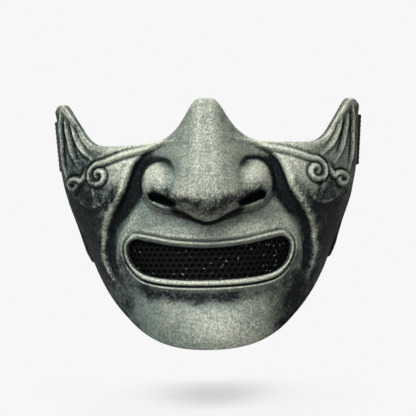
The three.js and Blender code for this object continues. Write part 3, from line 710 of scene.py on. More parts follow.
def make_object(name, points, faces, attributes=None, flip_check=True):
    """A smooth mesh object from points in mm, with its faces turned out."""
    mesh = bpy.data.meshes.new(name)
    mesh.from_pydata(np.asarray(points) * MM, [], [list(map(int, face)) for face in faces])
    for key, values in (attributes or {}).items():
        layer = mesh.attributes.new(key, "FLOAT", "POINT")
        layer.data.foreach_set("value", np.asarray(values, np.float32))
    mesh.validate()
    if flip_check:
        shape = bmesh.new()
        shape.from_mesh(mesh)
        bmesh.ops.recalc_face_normals(shape, faces=shape.faces)
        shape.to_mesh(mesh)
        shape.free()
    mesh.polygons.foreach_set("use_smooth", [True] * len(mesh.polygons))
    piece = bpy.data.objects.new(name, mesh)
    bpy.context.scene.collection.objects.link(piece)
    return piece


# ---- The shell -------------------------------------------------------------------------
def edge_distance(angle, z):
    """Distance in from the shell's border, about square to it."""
    step = 0.5

    def leaning(edge):
        rise = edge(angle + step) - edge(angle - step)
        run = np.abs(arc_at(angle + step) - arc_at(angle - step)) + 1e-9
        return np.hypot(1, rise / run)

    top = (top_of(angle) - z) / leaning(top_of)
    bottom = (z - bottom_of(angle)) / leaning(bottom_of)
    rear = arc_at(EDGE_ANGLE) - np.abs(arc_at(angle))
    return np.maximum(np.minimum(np.minimum(top, bottom), rear), 0)


def rounded_drop(distance):
    share = np.clip(distance / ROUNDING["edge"], 0, 1)
    return ROUNDING["drop"] * (1 - np.sqrt(1 - (1 - share) ** 2))


def fold_crest(arc, z):
    """1 along the edge of the cheek fold beside the mouth."""
    distance, along, side = nearest(fold_path, arc, z)[:3]
    return bell((side * distance - 0.8) / 0.7) * plateau(along, 0.42, 0.6, 0.88, 1)


def painted_shade(angle, z):
    """Painted shade, from 0 to 1: where shade falls on the sides of the cheeks and the jaw,
    in the deep folds beside the nose and just past them, on the tops of the nose wings, in
    and around the nostrils, and below nose and mouth. The left side gets less painted shade
    on the jaw and more on the cheek."""
    turned, arc, on_left = np.abs(angle), np.abs(arc_at(angle)), angle < 0
    x = seen_x(angle, z)
    away, along, side = nearest(fold_path, arc, z)[:3]
    left_jaw = 0.45 * smoothstep(-angle, 10, 40) * smoothstep(-z, 20, 50)
    cheeks = (0.92 - left_jaw) * smoothstep(turned, 27, 54)
    cheeks = cheeks * (1 - np.where(on_left, 0.4, 0.75) * smoothstep(z, 4, 36))
    beside_nose = smoothstep(-side * away, 0, 5) * smoothstep(z, -30, -8)
    cheeks = cheeks * (1 - 0.6 * beside_nose)
    points = 0.5 * smoothstep(turned, 60, 80)
    # Painted shade just past the fold's edge, under the cheekbone.
    shade_past_fold = 0.55 * bell((side * away - 5) / 3.5) * plateau(along, 0.3, 0.4, 0.52, 0.66)
    folds = np.clip(-fold_trough(arc, z) / FOLD["trough"], 0, 1) ** 1.4
    folds = 0.95 * folds * (0.15 + 0.85 * smoothstep(z, -4, 20))
    below_mouth = bell((z + 43.6 - 0.0042 * x * x) / 4.4) * (1 - smoothstep(x, 34, 50))
    below_mouth = 0.78 * below_mouth * np.where(on_left, 1, 1 - 0.3 * smoothstep(x, 0, 20))
    jaw = 0.4 * smoothstep(-z + 0.3 * x, 46, 70) * smoothstep(x, 12, 56)
    jaw = jaw * np.where(on_left, 0.45, 1)
    chin = 0.08 * smoothstep(-z, 64, 74)
    total = np.maximum(cheeks, points) + folds + jaw + chin + shade_past_fold + below_mouth
    above_foot = (z - nose_foot_at(x)) / nose_rise_at(x)
    under_tip = plateau(above_foot, -0.15, 0, 0.25, 1.2) * (1 - smoothstep(x, 17, 24))
    nostril_away = nearest(nostril_path, x, z)[0]
    over_nostrils = bell(nostril_away / 8.5) * smoothstep(z - nose_foot_at(x), 1, 4)
    total = total + mound(WING_SHADE, x, z) + np.maximum(1.25 * under_tip, over_nostrils)
    total = np.minimum(total * (1 - 0.35 * fold_crest(arc, z)), 0.88) + 0.12 * under_tip
    # Full painted shade inside the nostrils.
    return np.clip(total + 1 - smoothstep(nostril_away, 1.8, 3.4), 0, 1)


def painted_highlight(angle, z):
    """Painted highlight where light falls: on the nose and below it, along the eye cuts, on
    cheeks and chin, and in the lower end of the folds. It is added to what stands up for
    the dry brush."""
    turned, x = np.abs(angle), seen_x(angle, z)
    chin = mound(CHIN_HIGHLIGHT, x * np.sign(angle), z)
    ridge = 0.5 * (1 - smoothstep(x, 6, 24)) * smoothstep(z, 20, 46)
    eye_cut = 0.5 * bell((top_of(angle) - z - 3) / 6) * plateau(turned, 22, 32, 76, 84)
    cheek = mound(CHEEK_HIGHLIGHT, x, z) * (1 - smoothstep(turned, 60, 74))
    to_right = 0.25 * np.sign(angle) * smoothstep(x, 8, 24)
    below_nose = mound(NOSE_HIGHLIGHT, x, z) * (0.85 + 0.3 * smoothstep(x, 4, 14) + to_right)
    folds = -0.75 * fold_trough(np.abs(arc_at(angle)), z) / FOLD["trough"]
    folds = folds * (1 - smoothstep(z, -6, 14))
    return ridge + eye_cut + cheek + below_nose + folds + chin + mound(ROOT_HIGHLIGHT, x, z)


def stand_with_painted_light(arc, z, fine, broad, mass):
    """How far a place stands up for the dry brush, or lies low for the wash, from its
    height over a fine, a broad and a very broad blur of the relief. The broad terms add
    painted shade in broad hollows and painted light on broad forms; painted highlight,
    also along the fold's crest, and painted shade inside the nostrils come on top."""
    angle = angle_of_arc(arc)
    x = seen_x(angle, z)
    lips = 1 - smoothstep(off_outline(mouth_outline, arc, z)[0], 8, 12)
    lips = lips * (1 - 0.8 * smoothstep(MOUTH_MIDDLE - z, 3, 9))
    soft = np.maximum(lips, 0.9 * smoothstep(ornament_height(np.abs(arc), z), 0.1, 0.9))
    stand_and_light = (0.95 - 0.45 * soft * (fine > 0)) * np.tanh(fine / 0.4)
    stand_and_light = stand_and_light + 0.5 * np.tanh(np.minimum(broad, 0.4) / 1.5)
    wing_foot = bell((z - nose_foot_at(x)) / 3) * smoothstep(x, 16, 22) * (x < 38)
    stand_and_light = np.maximum(stand_and_light, -0.2 * wing_foot - 1.2 * (1 - wing_foot))
    # Painted highlight on top, also along the fold's crest, and painted shade inside the
    # nostrils.
    stand_and_light = stand_and_light + 0.22 * np.tanh(mass / 9) + painted_highlight(angle, z)
    stand_and_light = stand_and_light + 0.12 * fold_crest(np.abs(arc), z)
    return stand_and_light - 1.6 * (1 - smoothstep(nearest(nostril_path, x, z)[0], 1.2, 3))


def sorted_loops(triangles, arc):
    """The outer border of a skin, and then its holes from the left to the right."""
    loops = sorted(border_loops(triangles), key=len)
    return loops[-1:] + sorted(loops[:-1], key=lambda loop: arc[loop].mean())


def make_shell():
    """The outer skin, the plainer wearer's side, and the rims that join the two."""
    outlines = [mouth_outline, slot_outline(1), slot_outline(-1)]
    angle, z = grid_on_wall(OUTER_GRID["columns"], OUTER_GRID["rows"], 1)
    relief = face_height(angle, z)
    blurs = np.column_stack([blurred(relief, *blur).ravel() for blur in BLURS])
    angle, z, skin = cut_grid(angle, z, outlines)
    arc, z = arc_at(angle).ravel(), z.ravel()
    new_arc, new_z, parents, skin = halved(arc, z, skin, OUTER_GRID["tolerance"])
    arc, z = np.append(arc, new_arc), np.append(z, new_z)
    blurs = np.vstack([blurs, blurs[parents].mean(1)])
    angle = angle_of_arc(arc)
    stand_and_light = stand_with_painted_light(arc, z, *(face_height(angle, z)[:, None] - blurs).T)
    uneven = sum(size * value_noise(arc, z, cell, seed) for cell, size, seed in UNEVEN)
    slot_away = np.minimum(*[off_outline(outline, arc, z)[0] for outline in outlines[1:]])
    border = np.minimum(edge_distance(angle, z), np.maximum(slot_away, 0))
    height = pierced_height(arc, z) + uneven * smoothstep(border, 0, 4) - rounded_drop(border)
    outside = wall_point(angle, z, height)

    in_angle, in_z = grid_on_wall(INNER_GRID["columns"], INNER_GRID["rows"], 0)
    in_angle, in_z, in_skin = cut_grid(in_angle, in_z, outlines)
    in_arc = arc_at(in_angle)
    in_height = inner_height(in_angle, in_z) + 0.12 * value_noise(in_arc, in_z, 11, 8)
    in_height = in_height + 0.6 * rounded_drop(edge_distance(in_angle, in_z))
    wearer_side = wall_point(in_angle, in_z, in_height).reshape(-1, 3)

    points = [outside, wearer_side]
    triangles = [skin, in_skin[:, ::-1] + len(outside)]
    count = len(outside) + len(wearer_side)
    loops = zip(sorted_loops(skin, arc), sorted_loops(in_skin, in_arc.ravel()))
    for loop, inner_loop in loops:
        floor = inner_height(angle[loop], z[loop])
        ring = loop
        for share in RIM_RINGS:
            below = count + np.arange(len(loop))
            count += len(loop)
            points.append(wall_point(angle[loop], z[loop], lerp(height[loop], floor, share)))
            following = np.roll(ring, -1)
            triangles.append(np.column_stack([ring, below, following]))
            triangles.append(np.column_stack([below, np.roll(below, -1), following]))
            ring = below
        triangles.append(zipped(ring, inner_loop + len(outside), np.vstack(points)))

    points = np.vstack(points)
    rest = np.zeros(len(points) - len(outside))
    wearer = np.append(np.zeros(len(outside)), rest + 0.5)
    wearer[len(outside):len(outside) + len(wearer_side)] = 1
    used, faces = np.unique(np.vstack(triangles), return_inverse=True)
    attributes = dict(
        stand_and_light=np.append(stand_and_light, rest)[used], wearer=wearer[used],
        shade=np.append(painted_shade(angle, z), rest)[used],
    )
    return make_object("cast_shell", points[used], faces.reshape(-1, 3), attributes)


# ---- The perforated sheet and its backing ----------------------------------------------
def behind_mouth(arc, z, depth):
    """A place behind the wall's plain face, by a depth square to it."""
    step = 0.5
    angle = angle_of_arc(arc)
    along = wall_point(angle + step, z) - wall_point(angle - step, z)
    up = wall_point(angle, z + step) - wall_point(angle, z - step)
    return wall_point(angle, z) - unit(np.cross(along, up)) * np.asarray(depth)[..., None]


def make_panel():
    """A net of six-sided cells, each with a round hole, and blind ones along the edges."""
    pitch, radius, margin = PANEL["pitch"], PANEL["hole_radius"], PANEL["margin"]
    z_low, z_high = PANEL["bottom"], PANEL["top"]
    front, back = PANEL["front"], PANEL["front"] + PANEL["thickness"]
    arc_end = arc_at(angle_at(PANEL["half_width"], PANEL["middle"]))
    row_pitch = pitch * math.sqrt(3) / 2
    sides = 24
    turns = 2 * math.pi * np.arange(sides) / sides
    to_side = (pitch / 2) / np.cos((turns + math.pi / 6) % (math.pi / 3) - math.pi / 6)
    rings = [  # reach of each ring round a hole, and its depth
        (to_side, front + 0.1), (radius + 0.42, front + 0.06), (radius + 0.2, front),
        (radius + 0.03, front + 0.16), (radius, back), (to_side, back),
    ]
    front_rings = 3  # those that can glint
    blind_rings = [rings[0], *[(to_side / 2, front + 0.1)] * 4, rings[-1]]
    chance = np.random.default_rng(21)
    arcs, heights, depths, glints, faces = [], [], [], [], []
    rows = int((z_high - z_low) / 2 / row_pitch) + 2
    columns = int(arc_end / pitch) + 2
    for row in range(-rows, rows + 1):
        for column in range(-columns, columns + 1):
            mid_arc = (column + 0.5 * (row % 2)) * pitch
            mid_z = PANEL["middle"] + row * row_pitch
            # A few cells, more of them on the right, get a painted glint on two or three points
            # of their rim.
            lucky = chance.random() < 0.2 + 0.16 * (mid_arc > 0)
            bright = lucky * (np.abs(np.arange(sides) - chance.integers(1, sides - 1)) <= 1)
            out_arc = abs(mid_arc) - arc_end
            out_z = max(z_low - mid_z, mid_z - z_high)
            if out_arc > pitch * 0.45 or out_z > pitch * 0.5:
                continue
            pierced = max(out_arc, out_z) < -margin
            first = sides * len(arcs)
            for k, (reach, depth) in enumerate(rings if pierced else blind_rings):
                arcs.append(np.clip(mid_arc + reach * np.cos(turns), -arc_end, arc_end))
                heights.append(np.clip(mid_z + reach * np.sin(turns), z_low, z_high))
                depths.append(np.full(sides, depth))
                glints.append(bright * (k < front_rings))
            last = sides * (len(arcs) - 1)
            if pierced:
                faces += tube_faces(first, sides, len(rings))
            else:
                faces += [range(first, first + sides), range(last, last + sides)[::-1]]
    points = behind_mouth(np.concatenate(arcs), np.concatenate(heights), np.concatenate(depths))
    piece = make_object("perforated_sheet", points, faces, dict(glint=np.concatenate(glints)),
                        flip_check=False)
    shape = bmesh.new()
    shape.from_mesh(piece.data)
    bmesh.ops.remove_doubles(shape, verts=shape.verts, dist=0.02 * MM)
    loose = [corner for corner in shape.verts if not corner.link_faces]
    bmesh.ops.delete(shape, geom=loose, context="VERTS")
    bmesh.ops.bridge_loops(shape, edges=[edge for edge in shape.edges if edge.is_boundary])
    bmesh.ops.recalc_face_normals(shape, faces=shape.faces)
    bmesh.ops.triangulate(shape, faces=[f for f in shape.faces if len(f.verts) > 4])
    shape.to_mesh(piece.data)
    shape.free()
    return piece


def closed_strip(name, rings, attributes=None):
    """A mesh from rings with as many points each, closed at its ends."""
    size = len(rings[0])
    last = size * (len(rings) - 1)
    ends = [range(size)[::-1], range(last, last + size)]
    faces = tube_faces(0, size, len(rings)) + ends
    return make_object(name, np.vstack(rings), faces, attributes)


# The black cloth behind the sheet keeps the sheet's holes dark.
def make_backing():
    """The cloth, a little slack between its edges, and its flat width and height."""
    low, high = PANEL["bottom"], PANEL["top"]
    arc_end = float(arc_at(angle_at(PANEL["half_width"], PANEL["middle"])))
    front = PANEL["front"] + PANEL["thickness"] + BACKING["stand_off"]
    half = BACKING["thickness"] / 2
    rows = np.linspace(low + half, high - half, 30)
    inner_columns = np.linspace(-arc_end + 1, arc_end - 1, 90)
    round_end = np.radians(np.arange(-60, 61, 30))
    end_z, end_depth = half * np.cos(round_end), half * np.sin(round_end)
    ring_z = np.concatenate([rows, rows[-1] + end_z, rows[::-1], rows[0] - end_z])
    loose = plateau(rows, rows[0], rows[0] + 6, rows[-1] - 6, rows[-1])
    rings = []
    for arc in [-arc_end, -arc_end + 0.3, *inner_columns, arc_end - 0.3, arc_end]:
        end = smoothstep(arc_end - abs(arc), -0.35, 0.7)
        sag = 0.22 * value_noise(np.full(len(rows), arc), rows, 13, 31)
        middle = front + half + sag * loose * end
        ring_depth = np.concatenate([
            middle - half * end, middle[-1] + end_depth * end,
            (middle + half * end)[::-1], middle[0] - end_depth * end,
        ])
        rings.append(behind_mouth(np.full(len(ring_z), arc), ring_z, ring_depth))
    piece = closed_strip("backing_cloth", rings)
    return piece, 2 * arc_end, high - low


# ---- The head band ---------------------------------------------------------------------
def strap_plan():
    """Route on the right, seen from above: the sewn tail, round the bar between slot and
    rear edge, then along the inside and half way round the back of the head."""
    clear = STRAP["thickness"] / 2 + GAP + STRAP["ease"]
    turn_depth = SLOT["back"] + STRAP["turn_clear"]
    outer = lambda y: wall_x(min(y, REAR_EDGE)) + clear
    inner = lambda y: wall_x(min(y, REAR_EDGE)) - WALL - clear
    head_depth = STRAP["back_depth"] - REAR_EDGE
    power = STRAP["roundness"]

    def head_x(y):
        share = min(max((y - REAR_EDGE) / head_depth, 0), 1)
        return inner(REAR_EDGE) * (1 - share ** power) ** (1 / power)

    def tail_x(y):
        sewn = head_x(y) + STRAP["thickness"] + GAP
        merged = smoothstep(y, REAR_EDGE, REAR_EDGE + STRAP["tail_merge"])
        return lerp(outer(y), sewn, float(merged))

    middle = (outer(turn_depth) + inner(turn_depth)) / 2
    radius = outer(turn_depth) - middle
    tail = [(tail_x(y), y) for y in np.linspace(STRAP["tail_end"], turn_depth, 30)]
    turn = [(middle + radius * math.cos(t), turn_depth - radius * math.sin(t))
            for t in np.radians(np.arange(0, 181, 15))]
    head = [(inner(REAR_EDGE) * math.cos(t) ** (2 / power),
             REAR_EDGE + head_depth * math.sin(t) ** (2 / power))
            for t in np.radians(np.linspace(0, 90, 42))]
    return [*tail, *turn, (inner(REAR_EDGE - 3.5), REAR_EDGE - 3.5), *head]


def strap_frames():
    """Places along the middle of the band, with the ways out of it and up it."""
    right = strap_plan()
    plan = np.array(right + [(-x, y) for x, y in right[-2::-1]])
    past = np.maximum(plan[:, 1] - REAR_EDGE, 0)
    drop = STRAP["slope"] * (np.hypot(past, STRAP["bend"]) - STRAP["bend"])
    route = np.column_stack([plan, STRAP["height"] - drop])
    padded = np.vstack([route[:1], route, route[-1:]])
    along = unit(padded[2:] - padded[:-2])
    out = unit(along[:, [1, 0, 2]] * (1, -1, 0))
    up = unit(np.cross(out, along))
    lean = STRAP["lean"] * np.sign(plan[:, 0]) * (1 - smoothstep(plan[:, 1], REAR_EDGE, 90))
    up[:, 0] += lean
    return route, out, up


def make_strap():
    """The band, with fine ridges along it and rounded edges."""
    route, out, up = strap_frames()
    hem, half_thick = STRAP["hem"], STRAP["thickness"] / 2
    level = np.linspace(hem - STRAP["width"] / 2, STRAP["width"] / 2 - hem, 44)
    ridge = STRAP["ridge"] * (np.cos(2 * math.pi * level / STRAP["ridge_pitch"]) - 1)
    thick = half_thick + ridge
    turns = np.radians(np.arange(-60, 61, 30))
    end_across, end_thick = hem * np.cos(turns), (half_thick - 0.15) * np.sin(turns)
    across = np.concatenate([level, level[-1] + end_across, level[::-1],
                             level[0] - end_across])
    depth = np.concatenate([-thick, end_thick, thick[::-1], -end_thick])
    rings = [p + o * depth[:, None] + u * across[:, None] for p, o, u in zip(route, out, up)]
    return closed_strip("elastic_band", rings, dict(
        band_along=np.repeat(running_length(route), len(across)),
        band_across=np.tile(across, len(route)),
    ))


def make_stitches():
    """Thread round a rectangle and across it, sewn through each tail of the band."""
    frames = strap_frames()
    lengths = running_length(frames[0])

    def place(at):
        return [np.array([np.interp(at, lengths, column) for column in part.T])
                for part in frames]

    near, far, edge = STITCH["near"], STITCH["far"], STITCH["edge"]
    box = np.array([(near, -edge), (far, -edge), (far, edge), (near, edge), (near, -edge)])
    runs = [(a, b, round(math.dist(a, b) / STITCH["pitch"]), (0.14, 0.86))
            for a, b in zip(box, box[1:])]
    runs.append((box[0], box[2], STITCH["across"], (0.135, 0.775)))
    threads = [[lerp(a, b, (k + share) / count) for share in shares]
               for a, b, count, shares in runs for k in range(count)]
    stations, ring = 6, 6
    points, faces = [], []
    for from_end in (False, True):
        for start, end in threads:
            first = len(points)
            lengthwise = abs(end[0] - start[0]) > abs(end[1] - start[1])
            for s in np.linspace(0, 1, stations):
                at, cross = lerp(start, end, s)
                p, out, up = place(lengths[-1] - at if from_end else at)
                ahead = place(lengths[-1] - at - 0.5 if from_end else at + 0.5)[0]
                way = up if lengthwise else unit(np.cross(out, p - ahead))
                swell = math.sin(math.pi * s)
                rise = STRAP["thickness"] / 2 + STITCH["bulge"] * swell
                size = STITCH["radius"] * (0.55 + 0.45 * swell)
                for turn in 2 * math.pi * np.arange(ring) / ring:
                    points.append(p + out * (rise + size * math.sin(turn)) + up * cross
                                  + way * size * math.cos(turn))
            last = len(points) - ring
            faces += tube_faces(first, ring, stations)
            faces += [range(first, first + ring), range(last, last + ring)]
    return make_object("band_stitches", np.array(points), faces)


# ---- Materials -------------------------------------------------------------------------
def tone(red, green, blue):
    """A colour named by its display values, as scene-linear numbers."""
    return tuple(((c / 255 + 0.055) / 1.055) ** 2.4 if c > 10 else c / 255 / 12.92
                 for c in (red, green, blue)) + (1,)


class Nodes:
    """Adds nodes to a material, or to a world, and wires them up."""

    def __init__(self, name, world=None):
        self.owner = world or bpy.data.materials.new(name)
        self.owner.use_nodes = True
        self.tree = self.owner.node_tree
        self.tree.nodes.clear()

    def add(self, kind, sockets=None, **settings):
        node = self.tree.nodes.new("ShaderNode" + kind)
        for key, value in settings.items():
            setattr(node, key, value)
        for key, value in (sockets or {}).items():
            if isinstance(value, bpy.types.NodeSocket):
                self.tree.links.new(value, node.inputs[key])
            else:
                node.inputs[key].default_value = value
        return node

    def place(self):
        return self.add("TexCoord").outputs["Object"]

    def attribute(self, name):
        return self.add("Attribute", attribute_name=name).outputs["Fac"]

    def noise(self, vector, size, detail=3, roughness=0.55, distortion=0):
        """Noise with lumps of about a size in mm."""
        return self.add("TexNoise", {
            "Vector": vector, "Scale": 1 / (size * MM), "Detail": detail,
            "Roughness": roughness, "Distortion": distortion,
        }).outputs["Fac"]

    def math(self, operation, first, second=0.0, third=0.0):
        sockets = {0: first, 1: second, 2: third}
        return self.add("Math", sockets, operation=operation).outputs[0]

    def vary(self, value, noise, amount):
        """A value moved up and down by a noise."""
        return self.math("MULTIPLY_ADD", self.math("SUBTRACT", noise, 0.5), amount, value)

    def ramp(self, value, low, high):
        """0 below low, 1 above high, smooth between them."""
        return self.add("MapRange", {
            "Value": value, "From Min": low, "From Max": high,
        }, interpolation_type="SMOOTHSTEP").outputs["Result"]

    def mix(self, share, first, second, blend="MIX"):
        """A mix of two colours, which are the node's sockets 6 and 7."""
        sockets = {0: share, 6: first, 7: second}
        return self.add("Mix", sockets, data_type="RGBA", blend_type=blend).outputs[2]

    def bump(self, height, distance, strength=1.0, normal=None):
        sockets = {"Height": height, "Distance": distance * MM, "Strength": strength}
        if normal is not None:
            sockets["Normal"] = normal
        return self.add("Bump", sockets).outputs["Normal"]

    def finish(self, **sockets):
        shader = self.add("BsdfPrincipled", {
            key.replace("_", " "): value for key, value in sockets.items()
        })
        self.add("OutputMaterial", {"Surface": shader.outputs[0]})
        return self.owner


def cast_paint():
    """Dark wash in the hollows, a grey-green body, and pale dry brush on what stands up,
    with painted highlight in it. Painted shade on the sides of cheeks and jaw, in the folds
    and nostrils, and under nose and mouth, where the shine is less too.
    """
    m = Nodes("cast_paint")
    place, stand_and_light, shade = m.place(), m.attribute("stand_and_light"), m.attribute("shade")
    grain = m.noise(place, 1.5, 2, 0.6)
    mottle = m.noise(place, 5, 4, 0.65, 0.3)
    cloud = m.noise(place, 26, 3, 0.5)
    across = m.add("SeparateXYZ", {"Vector": place}).outputs["X"]
    warmth = m.math("MULTIPLY_ADD", across, 6, cloud)
    body = m.mix(m.ramp(warmth, 0.2, 0.65), tone(126, 143, 136), tone(153, 155, 139))
    body = m.mix(m.ramp(mottle, 0.3, 0.72), tone(106, 119, 113), body)
    # Pale dry brush on what stands up, together with the painted highlight.
    rough_stand_and_light = m.vary(stand_and_light, grain, 1.3)
    body = m.mix(m.ramp(rough_stand_and_light, 0.1, 1.2), body, tone(206, 210, 194))

    # Painted shade: a dark colour mixed in by the shade attribute, in patches and broken by
    # lighter scuffs, and less where the dry brush is.
    shadow = m.mix(m.ramp(grain, 0.35, 0.65), tone(9, 13, 17), tone(36, 45, 48))
    patch = m.noise(place, 11, 3, 0.6, 0.6)
    patchy = m.vary(m.vary(shade, mottle, 0.9), patch, 1.1)
    turned = {"Vector": place, "Rotation": (0.3, 0.5, 0.2), "Scale": (1, 1, 0.7)}
    scuffs = m.noise(m.add("Mapping", turned).outputs[0], 1.3, 2, 0.6)
    patchy = m.math("MULTIPLY_ADD", m.ramp(scuffs, 0.56, 0.72), -0.35, patchy)
    shaded = m.ramp(m.math("MULTIPLY_ADD", rough_stand_and_light, -0.35, patchy), 0.0, 0.9)
    body = m.mix(shaded, body, shadow)

    # Darkest colour where a place lies low: the wash in fine hollows, and painted shade in broad
    # hollows and in the nostrils.
    sunk = m.math("MULTIPLY", m.vary(stand_and_light, mottle, 0.5), -1.0)
    deep = m.mix(m.ramp(grain, 0.42, 0.7), tone(7, 11, 14), tone(32, 39, 43))
    body = m.mix(m.ramp(sunk, 0.1, 1.0), body, deep)
    sand = m.mix(m.ramp(m.noise(place, 0.85, 2, 0.75), 0.34, 0.66),
                 (0.5, 0.52, 0.54, 1), (1.4, 1.4, 1.37, 1))
    body = m.mix(1.0, body, sand, "MULTIPLY")
    pit = m.ramp(m.noise(place, 1.7, 2, 0.6), 0.6, 0.7)
    body = m.mix(m.math("MULTIPLY", pit, 0.35), body, tone(30, 37, 39))

    plain = m.mix(m.ramp(mottle, 0.3, 0.7), tone(72, 79, 77), tone(100, 107, 103))
    return m.finish(
        Base_Color=m.mix(m.attribute("wearer"), body, plain),
        Roughness=m.math("MULTIPLY_ADD", mottle, 0.25, 0.42),
        # Less shine under the painted shade.
        Specular_IOR_Level=m.math("MULTIPLY_ADD", shaded, -0.3, 0.45),
        Normal=m.bump(mottle, 0.6, 0.3, m.bump(grain, 0.35, 0.5)),
    )


def black_steel():
    m = Nodes("black_steel")
    place = m.place()
    glint = m.attribute("glint")
    scratch = m.noise(place, 0.9, 3, 0.6)
    # Painted glints: a bright bare-steel colour on those rim points, where the scratches are.
    wear_and_glint = m.math("MULTIPLY", m.ramp(glint, 0.35, 0.8), m.ramp(scratch, 0.42, 0.55))
    colour = m.mix(m.ramp(scratch, 0.3, 0.7), tone(2, 2, 3), tone(5, 6, 7))
    colour = m.mix(wear_and_glint, colour, tone(122, 129, 133))
    rough = m.math("MULTIPLY_ADD", scratch, 0.3, 0.42)
    return m.finish(Base_Color=colour, Roughness=rough, Metallic=0, Specular_IOR_Level=0.17,
                    Normal=m.bump(scratch, 0.1, 0.4))


def weave(name, dark, light, pitch):
    """Plain woven cloth of two crossing sets of yarns."""
    m = Nodes(name)
    split = m.add("SeparateXYZ", {"Vector": m.place()})
    turns = 2 * math.pi / (pitch * MM)
    wave = lambda axis: m.math("SINE", m.math("MULTIPLY", split.outputs[axis], turns))
    yarns = m.math("MULTIPLY", wave("X"), wave("Z"))
    fuzz = m.noise(m.place(), 0.6, 3, 0.7)
    share = m.math("MULTIPLY_ADD", yarns, 0.35, m.math("MULTIPLY", fuzz, 0.9))
    patch = m.noise(m.place(), 14, 3)
    colour = m.mix(m.ramp(share, 0.1, 0.9), dark, light)
    colour = m.mix(m.ramp(patch, 0.35, 0.7), colour, dark)
    return m.finish(Base_Color=colour, Roughness=m.math("MULTIPLY_ADD", fuzz, 0.1, 0.85),
                    Normal=m.bump(share, 0.25, 0.6), Sheen_Weight=0.05, Sheen_Roughness=0.5)


def elastic():
    m = Nodes("black_elastic")
    along, across = m.attribute("band_along"), m.attribute("band_across")
    wave = lambda value, pitch: m.math("SINE", m.math("MULTIPLY", value, 2 * math.pi / pitch))
    knit = m.math("MULTIPLY", wave(along, 1.1), wave(across, 1.35))
    fuzz = m.noise(m.place(), 0.7, 3, 0.7)
    share = m.math("MULTIPLY_ADD", knit, 0.3, fuzz)
    wear_and_glint = m.noise(m.place(), 18, 3)
    colour = m.mix(m.ramp(share, 0.2, 0.95), tone(6, 7, 8), tone(23, 24, 27))
    colour = m.mix(m.ramp(wear_and_glint, 0.5, 0.75), colour, tone(17, 18, 20))
    return m.finish(Base_Color=colour, Roughness=m.math("MULTIPLY_ADD", fuzz, 0.12, 0.8),
                    Normal=m.bump(share, 0.3, 0.7), Sheen_Weight=0.15, Sheen_Roughness=0.45)


def thread():
    m = Nodes("black_thread")
    twist = m.noise(m.place(), 0.5, 2, 0.6)
    colour = m.mix(m.ramp(twist, 0.3, 0.7), tone(22, 23, 25), tone(48, 49, 52))
    return m.finish(Base_Color=colour, Roughness=m.math("MULTIPLY_ADD", twist, 0.2, 0.6),
                    Normal=m.bump(twist, 0.1, 0.5))


# ---- Stage, lights and camera ----------------------------------------------------------
FLOOR_DROP = 51  # below the chin, in front of the mask
FLOOR_SWEEP = 34  # how much higher the floor is behind the mask
BACKGROUND = tone(247, 247, 247)
AMBIENT = 0.08
LIGHTS = [
    dict(name="key", strength=3.65, spread=46, azimuth=-24, elevation=46,
         colour=(1, 0.99, 0.95)),
    dict(name="front", strength=0.4, spread=40, azimuth=10, elevation=8),
    dict(name="rear", strength=0.9, spread=40, azimuth=168, elevation=28),
]
CAMERA = dict(
    distance=2400, frame_width=246.3, sensor=36, azimuth=1.1, elevation=0.5, roll=-1.45,
    aim=(-0.6, 0, 8.9),
)


def make_floor():
    """A pale floor. The camera sees it in the tone of the backdrop, with a painted soft
    shadow of what is close above it."""
    low = CHIN_HEIGHT - FLOOR_DROP
    depths = np.concatenate([[-6000], np.linspace(-120, 60, 25), [6000]])
    levels = low + FLOOR_SWEEP * smoothstep(depths, -130, 70)
    corners = [(x, y, z) for y, z in zip(depths, levels) for x in (-6000, 6000)]
    faces = [(2 * k, 2 * k + 1, 2 * k + 3, 2 * k + 2) for k in range(len(depths) - 1)]
    floor = make_object("floor", corners, faces, flip_check=False)
    m = Nodes("pale_floor")
    # Painted shadow: darker where things close above hide more of the sky.
    open_sky = m.add("AmbientOcclusion", {"Distance": 84 * MM}, samples=32).outputs["AO"]
    shade = m.ramp(open_sky, 0.66, 0.96)
    colour = m.mix(shade, tone(178, 178, 179), BACKGROUND)
    seen = m.add("Emission", {"Color": colour}).outputs[0]
    lit = m.add("BsdfDiffuse", {"Color": tone(150, 150, 150)}).outputs[0]
    path = m.add("LightPath").outputs["Is Camera Ray"]
    mixed = m.add("MixShader", {0: path, 1: lit, 2: seen}).outputs[0]
    m.add("OutputMaterial", {"Surface": mixed})
    floor.data.materials.append(m.owner)
    floor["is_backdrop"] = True


def make_world(ambient):
    """The camera sees the plain backdrop, and the mask gets a faint even sky."""
    world = bpy.data.worlds.new("studio")
    bpy.context.scene.world = world
    m = Nodes("studio", world)
    seen = m.add("Background", {"Color": BACKGROUND}).outputs[0]
    sky = m.add("Background", {"Color": (0.93, 0.97, 1, 1), "Strength": ambient}).outputs[0]
    path = m.add("LightPath").outputs["Is Camera Ray"]
    both = m.add("MixShader", {0: path, 1: sky, 2: seen}).outputs[0]
    m.add("OutputWorld", {"Surface": both})


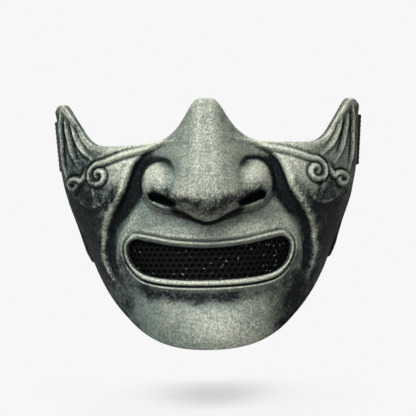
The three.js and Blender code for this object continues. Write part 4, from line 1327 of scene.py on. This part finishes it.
def towards(azimuth, elevation):
    """A direction from the mask: azimuth 0 is to the viewer, and 90 to the viewer's right."""
    a, e = math.radians(azimuth), math.radians(elevation)
    return Vector((math.sin(a) * math.cos(e), -math.cos(a) * math.cos(e), math.sin(e)))


def add_sun(name, strength, spread, azimuth, elevation, colour=(1, 1, 1)):
    """A large soft light, far away in a direction."""
    light = bpy.data.lights.new(name, "SUN")
    light.energy, light.angle, light.color = strength, math.radians(spread), colour
    lamp = bpy.data.objects.new(name, light)
    lamp.rotation_euler = towards(azimuth, elevation).to_track_quat("Z", "Y").to_euler()
    bpy.context.scene.collection.objects.link(lamp)


def make_camera():
    """A long lens far in front of the mask, turned and rolled a little."""
    data = bpy.data.cameras.new("camera")
    camera = bpy.data.objects.new("camera", data)
    bpy.context.scene.collection.objects.link(camera)
    bpy.context.scene.camera = camera
    back = towards(CAMERA["azimuth"], CAMERA["elevation"])
    camera.location = (Vector(CAMERA["aim"]) + back * CAMERA["distance"]) * MM
    camera.rotation_mode = "QUATERNION"
    roll = Quaternion((0, 0, 1), math.radians(CAMERA["roll"]))
    camera.rotation_quaternion = (-back).to_track_quat("-Z", "Y") @ roll
    data.sensor_width = CAMERA["sensor"]
    data.lens = CAMERA["sensor"] * CAMERA["distance"] / CAMERA["frame_width"]
    data.clip_start, data.clip_end = 0.05, 20


# ---- Assembly --------------------------------------------------------------------------
def dress(piece, node, material):
    piece.data.materials.append(material)
    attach(piece, "root")
    if node:
        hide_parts(node)
    return piece


make_camera()
dress(make_shell(), "mask_shell", cast_paint())
dress(make_panel(), "mouth_mesh", black_steel())
cloth, cloth_width, cloth_height = make_backing()
dress(cloth, "mouth_backing",
      weave("black_cloth", tone(4, 4, 5), tone(14, 15, 16), 0.9))
dress(make_strap(), "head_strap", elastic())
dress(make_stitches(), None, thread())
make_floor()
make_world(AMBIENT)
for light in LIGHTS:
    add_sun(**light)
bpy.context.scene.view_settings.view_transform = "Standard"

{"cad": cad_box, "visual": [list(corner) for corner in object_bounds()]}
